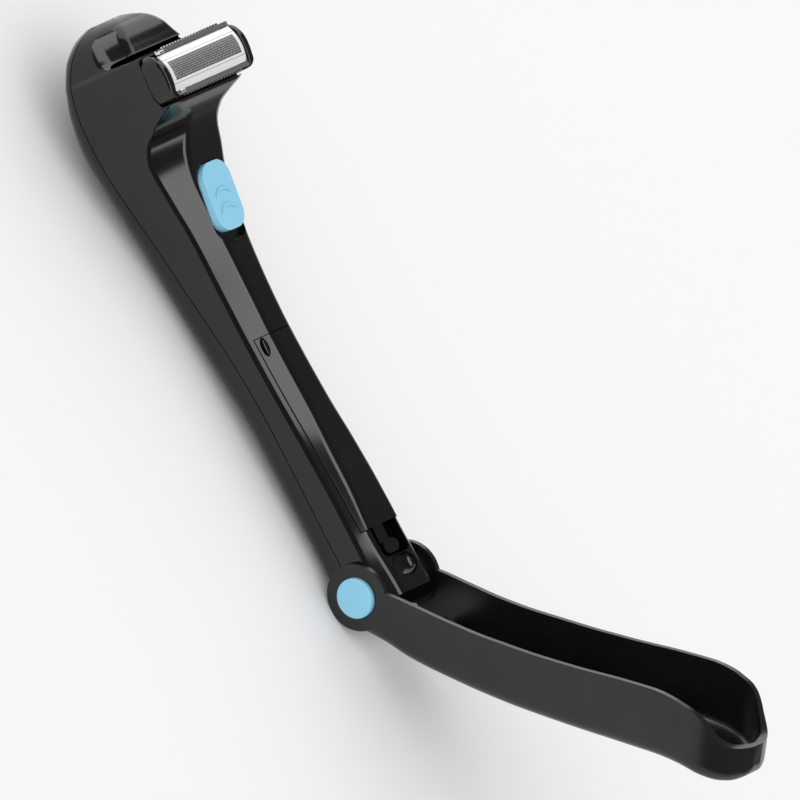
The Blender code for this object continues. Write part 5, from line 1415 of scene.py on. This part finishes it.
@dataclass
class Cassette:
    """Frame with two end plates, and the foil over it."""

    body: Workshop
    crest: Workshop

    def build(self) -> None:
        """Makes the frame in the body's frame and the foil in the crest's."""
        shop = self.body
        inner_y = HEAD_HALF_WIDTH - CASSETTE_PLATE
        lean = math.tan(CASSETTE_TILT) * CASSETTE_HALF_LENGTH
        half = CASSETTE_HALF_LENGTH
        top = half - FRAME_LEAN
        low, high = FRAME_RISE - lean, FRAME_RISE + lean
        outline = [(-half, FIT_GAP), (half, FIT_GAP), (top, high), (top - FRAME_WALL, high)]
        outline += [(half - FRAME_WALL, FRAME_FLOOR), (-half + FRAME_WALL, FRAME_FLOOR)]
        outline += [(-top + FRAME_WALL, low), (-top, low)]
        frame = shop.slice("cassette_frame_skin", outline, inner_y + CASSETTE_PLATE / 2, 0, False)
        smooth = self._plate_outline()
        for side in Across:
            middle = side.value * (HEAD_HALF_WIDTH - CASSETTE_PLATE / 2)
            plate = shop.pillow(f"end_plate_{side.name}", smooth, CASSETTE_PLATE / 2, PLATE_EDGE, middle)
            shop.combine(frame, plate, "UNION")
        plan = rounded_rectangle(half, HEAD_HALF_WIDTH, FRAME_CORNER)
        shop.combine(frame, shop.prism("cassette_plan", plan, (-PASS / 2, PASS)), "INTERSECT")
        shop.combine(frame, shop.box("cassette_window", FRAME_WINDOW, (0, 0, FRAME_FLOOR / 2)))
        shop.finish(frame, GLOSS_BLACK, "cassette", "cassette_frame")
        turns = [FOIL_HALF_ANGLE * (2 * i / ARC_STEPS - 1) for i in range(ARC_STEPS + 1)]
        centre = FOIL_CREST - FOIL_RADIUS
        radii = (FOIL_RADIUS, FOIL_RADIUS - FOIL_THICKNESS)
        outer, inner = ([(r * math.sin(t), centre + r * math.cos(t)) for t in turns] for r in radii)
        foil = self.crest.slice("shaving_foil_skin", outer + inner[::-1], inner_y - FIT_GAP, 0, False)
        self.crest.finish(foil, FOIL, "cassette", "shaving_foil")

    def _plate_outline(self) -> list[Point]:
        """The end plates' side view (x, z), drawn smooth through its points."""
        rise = CASSETTE_PLATE_HEIGHT - FIT_GAP
        points = [(a * CASSETTE_HALF_LENGTH, FIT_GAP + u * rise) for a, u in PLATE_OUTLINE]
        run = [0.0]
        for (x0, z0), (x1, z1) in zip(points, points[1:]):
            run.append(run[-1] + math.hypot(x1 - x0, z1 - z0))
        xs, zs = zip(*points)
        return [(hermite(run, xs, s), hermite(run, zs, s)) for s in np.linspace(0, run[-1], ARC_STEPS)]


@dataclass(frozen=True)
class Card:
    """A soft box that only glossy surfaces show.

    Args:
        name: what it is called.
        towards: its direction from the shaver, in the body's frame.
        distance: how far away it stands.
        size: its width and height.
        power: watts.
    """

    name: str
    towards: Space
    distance: float
    size: tuple[float, float]
    power: float


CARDS = (
    Card("top_softbox", (0.0, -0.20, 0.98), 1.3, (2.2, 0.50), 12.0),
    Card("rear_softbox", (-0.97, -0.20, 0.10), 1.2, (0.9, 0.5), 4.0),
    Card("far_softbox", (-0.80, 0.55, 0.24), 1.3, (1.3, 1.3), 7.5),
)


@dataclass
class Datum:
    """Where the body's own frame lies: origin on the hinge axis, x to the handle, z out of the front."""

    joints: Sequence[dict]
    matrix: Matrix = field(init=False)

    def __post_init__(self) -> None:
        """Reads the hinge's place and the body's front direction from the joints."""
        by_name = {joint["name"]: joint for joint in self.joints}
        out = Vector(by_name["cassette_pull_off"]["axis"]).normalized()
        across = Vector((0, 1, 0))
        along = across.cross(out)
        turn = Matrix((along, across, out)).transposed().to_4x4()
        self.matrix = Matrix.Translation(by_name["handle_fold"]["pos_m"]) @ turn

    def turned(self, offset: Space, angle: float) -> Matrix:
        """A frame in the body's frame.

        Args:
            offset: where its origin is.
            angle: how far it is turned about Y.

        Returns:
            Its matrix in the world.
        """
        return self.matrix @ Matrix.Translation(offset) @ Matrix.Rotation(angle, 4, "Y")


@dataclass
class Studio:
    """Floor, soft lamps and the camera at the photograph's angle."""

    datum: Datum
    photo_size: int = 800
    pixel: float = 0.00033
    distance: float = 12.0
    right: Space = (0.4147, 0.522, 0.746)
    up: Space = (-0.910, 0.238, 0.340)
    ear_face: float = -0.01735
    ear_pixel: Point = (356.4, 597.9)
    sensor: float = 36.0
    clip_end: float = 60.0
    floor_half: float = 6.0
    floor_colour: Colour = (0.86, 0.86, 0.86)
    air: float = 1.1
    air_seen: float = -0.1
    air_mirrored: float = -0.95
    lamp_rise: float = 0.03

    def build(self) -> None:
        """Makes the floor, the lamps and the camera."""
        self._floor()
        self._world()
        self._lamps()
        self._camera()

    def _camera(self) -> None:
        """Puts a long lens where the near ear's centre falls on its pixel."""
        turn = self.datum.matrix.to_3x3()
        right = (turn @ Vector(self.right)).normalized()
        back = right.cross((turn @ Vector(self.up)).normalized()).normalized()
        up = back.cross(right)
        ear = self.datum.matrix @ Vector((0, self.ear_face, 0))
        across = (self.photo_size / 2 - self.ear_pixel[0]) * self.pixel
        above = (self.ear_pixel[1] - self.photo_size / 2) * self.pixel
        aim = ear + right * across + up * above
        lens = bpy.data.cameras.new("photo_camera")
        lens.sensor_width = self.sensor
        lens.lens = self.sensor * self.distance / (self.photo_size * self.pixel)
        lens.clip_end = self.clip_end
        camera = bpy.data.objects.new("photo_camera", lens)
        bpy.context.scene.collection.objects.link(camera)
        facing = Matrix((right, up, back)).transposed().to_4x4()
        camera.matrix_world = Matrix.Translation(aim + back * self.distance) @ facing
        bpy.context.scene.camera = camera

    def _floor(self) -> None:
        """A wide pale floor."""
        mesh = bpy.data.meshes.new("studio_floor")
        half = self.floor_half
        corners = [(-half, -half, 0), (half, -half, 0), (half, half, 0), (-half, half, 0)]
        mesh.from_pydata(corners, [], [(0, 1, 2, 3)])
        floor = bpy.data.objects.new("studio_floor", mesh)
        bpy.context.scene.collection.objects.link(floor)
        material = bpy.data.materials.new("studio_paper")
        material.use_nodes = True
        shader = material.node_tree.nodes["Principled BSDF"]
        shader.inputs["Base Color"].default_value = (*self.floor_colour, 1.0)
        shader.inputs["Roughness"].default_value = 0.9
        shader.inputs["Specular IOR Level"].default_value = 0.1
        mesh.materials.append(material)

    def _world(self) -> None:
        """A white surround for the camera, and a dimmer one for light."""
        world = bpy.data.worlds.new("studio_air")
        bpy.context.scene.world = world
        world.use_nodes = True
        tree = world.node_tree
        background = tree.nodes["Background"]
        background.inputs["Color"].default_value = (1.0, 1.0, 1.0, 1.0)
        rays = tree.nodes.new("ShaderNodeLightPath")
        seen = math_node(tree, "MULTIPLY", rays.outputs["Is Camera Ray"], self.air_seen)
        mirrored_air = math_node(tree, "MULTIPLY", rays.outputs["Is Glossy Ray"], self.air_mirrored)
        total = math_node(tree, "ADD", seen, mirrored_air)
        tree.links.new(math_node(tree, "ADD", total, self.air), background.inputs["Strength"])

    def _lamps(self) -> None:
        """Soft boxes, each placed by the direction that it is seen in from the shaver, and facing it."""
        turn = self.datum.matrix.to_3x3()
        for card in CARDS:
            lamp = bpy.data.lights.new(card.name, "AREA")
            lamp.shape = "RECTANGLE"
            lamp.size, lamp.size_y = card.size
            lamp.energy = card.power
            holder = bpy.data.objects.new(card.name, lamp)
            holder.visible_diffuse = False
            bpy.context.scene.collection.objects.link(holder)
            towards = (turn @ Vector(card.towards)).normalized()
            holder.location = towards * card.distance + Vector((0, 0, self.lamp_rise))
            along = (turn @ Vector((1, 0, 0))).cross(towards).cross(towards).normalized()
            facing = Matrix((along, towards.cross(along), towards)).transposed()
            holder.rotation_euler = facing.to_euler()


def dress_nodes(nodes: dict[str, Object]) -> None:
    """Gives every carried-over solid its finish.

    Args:
        nodes: the frame's nodes by name.
    """
    for finish, names in NODE_FINISHES.items():
        for name in names:
            node = nodes[name]
            node.data.materials.clear()
            node.data.materials.append(finish.material())
            LOG.info("dressed %s in %s", name, finish.name)


def build_pieces(datum: Datum) -> None:
    """Makes every fine piece.

    Args:
        datum: the body's frame.
    """
    form = BodyForm()
    shop = Workshop(datum.matrix)
    Casing(form, shop).build()
    Door(form, shop).build()
    Switch(form, shop).build()
    arm = Workshop(datum.turned((0, 0, 0), -HANDLE_REST_ANGLE))
    Handle(HandleForm(), arm).build()
    seat = Workshop(datum.turned((-HEAD_CENTRE, 0, SEAT_HEIGHT), 0.0))
    crest = Workshop(datum.turned((-HEAD_CENTRE, 0, SEAT_HEIGHT), -CASSETTE_TILT))
    Cassette(seat, crest).build()
    for used in (shop, arm, seat, crest):
        used.clear()


def main() -> None:
    """Builds the dressed shaver and its studio."""
    logging.basicConfig(level=logging.INFO)
    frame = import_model()
    datum = Datum(frame["joints"])
    Studio(datum).build()
    dress_nodes(frame["nodes"])
    build_pieces(datum)
    bpy.context.scene.view_settings.view_transform = "Standard"


if __name__ == "__main__":
    main()
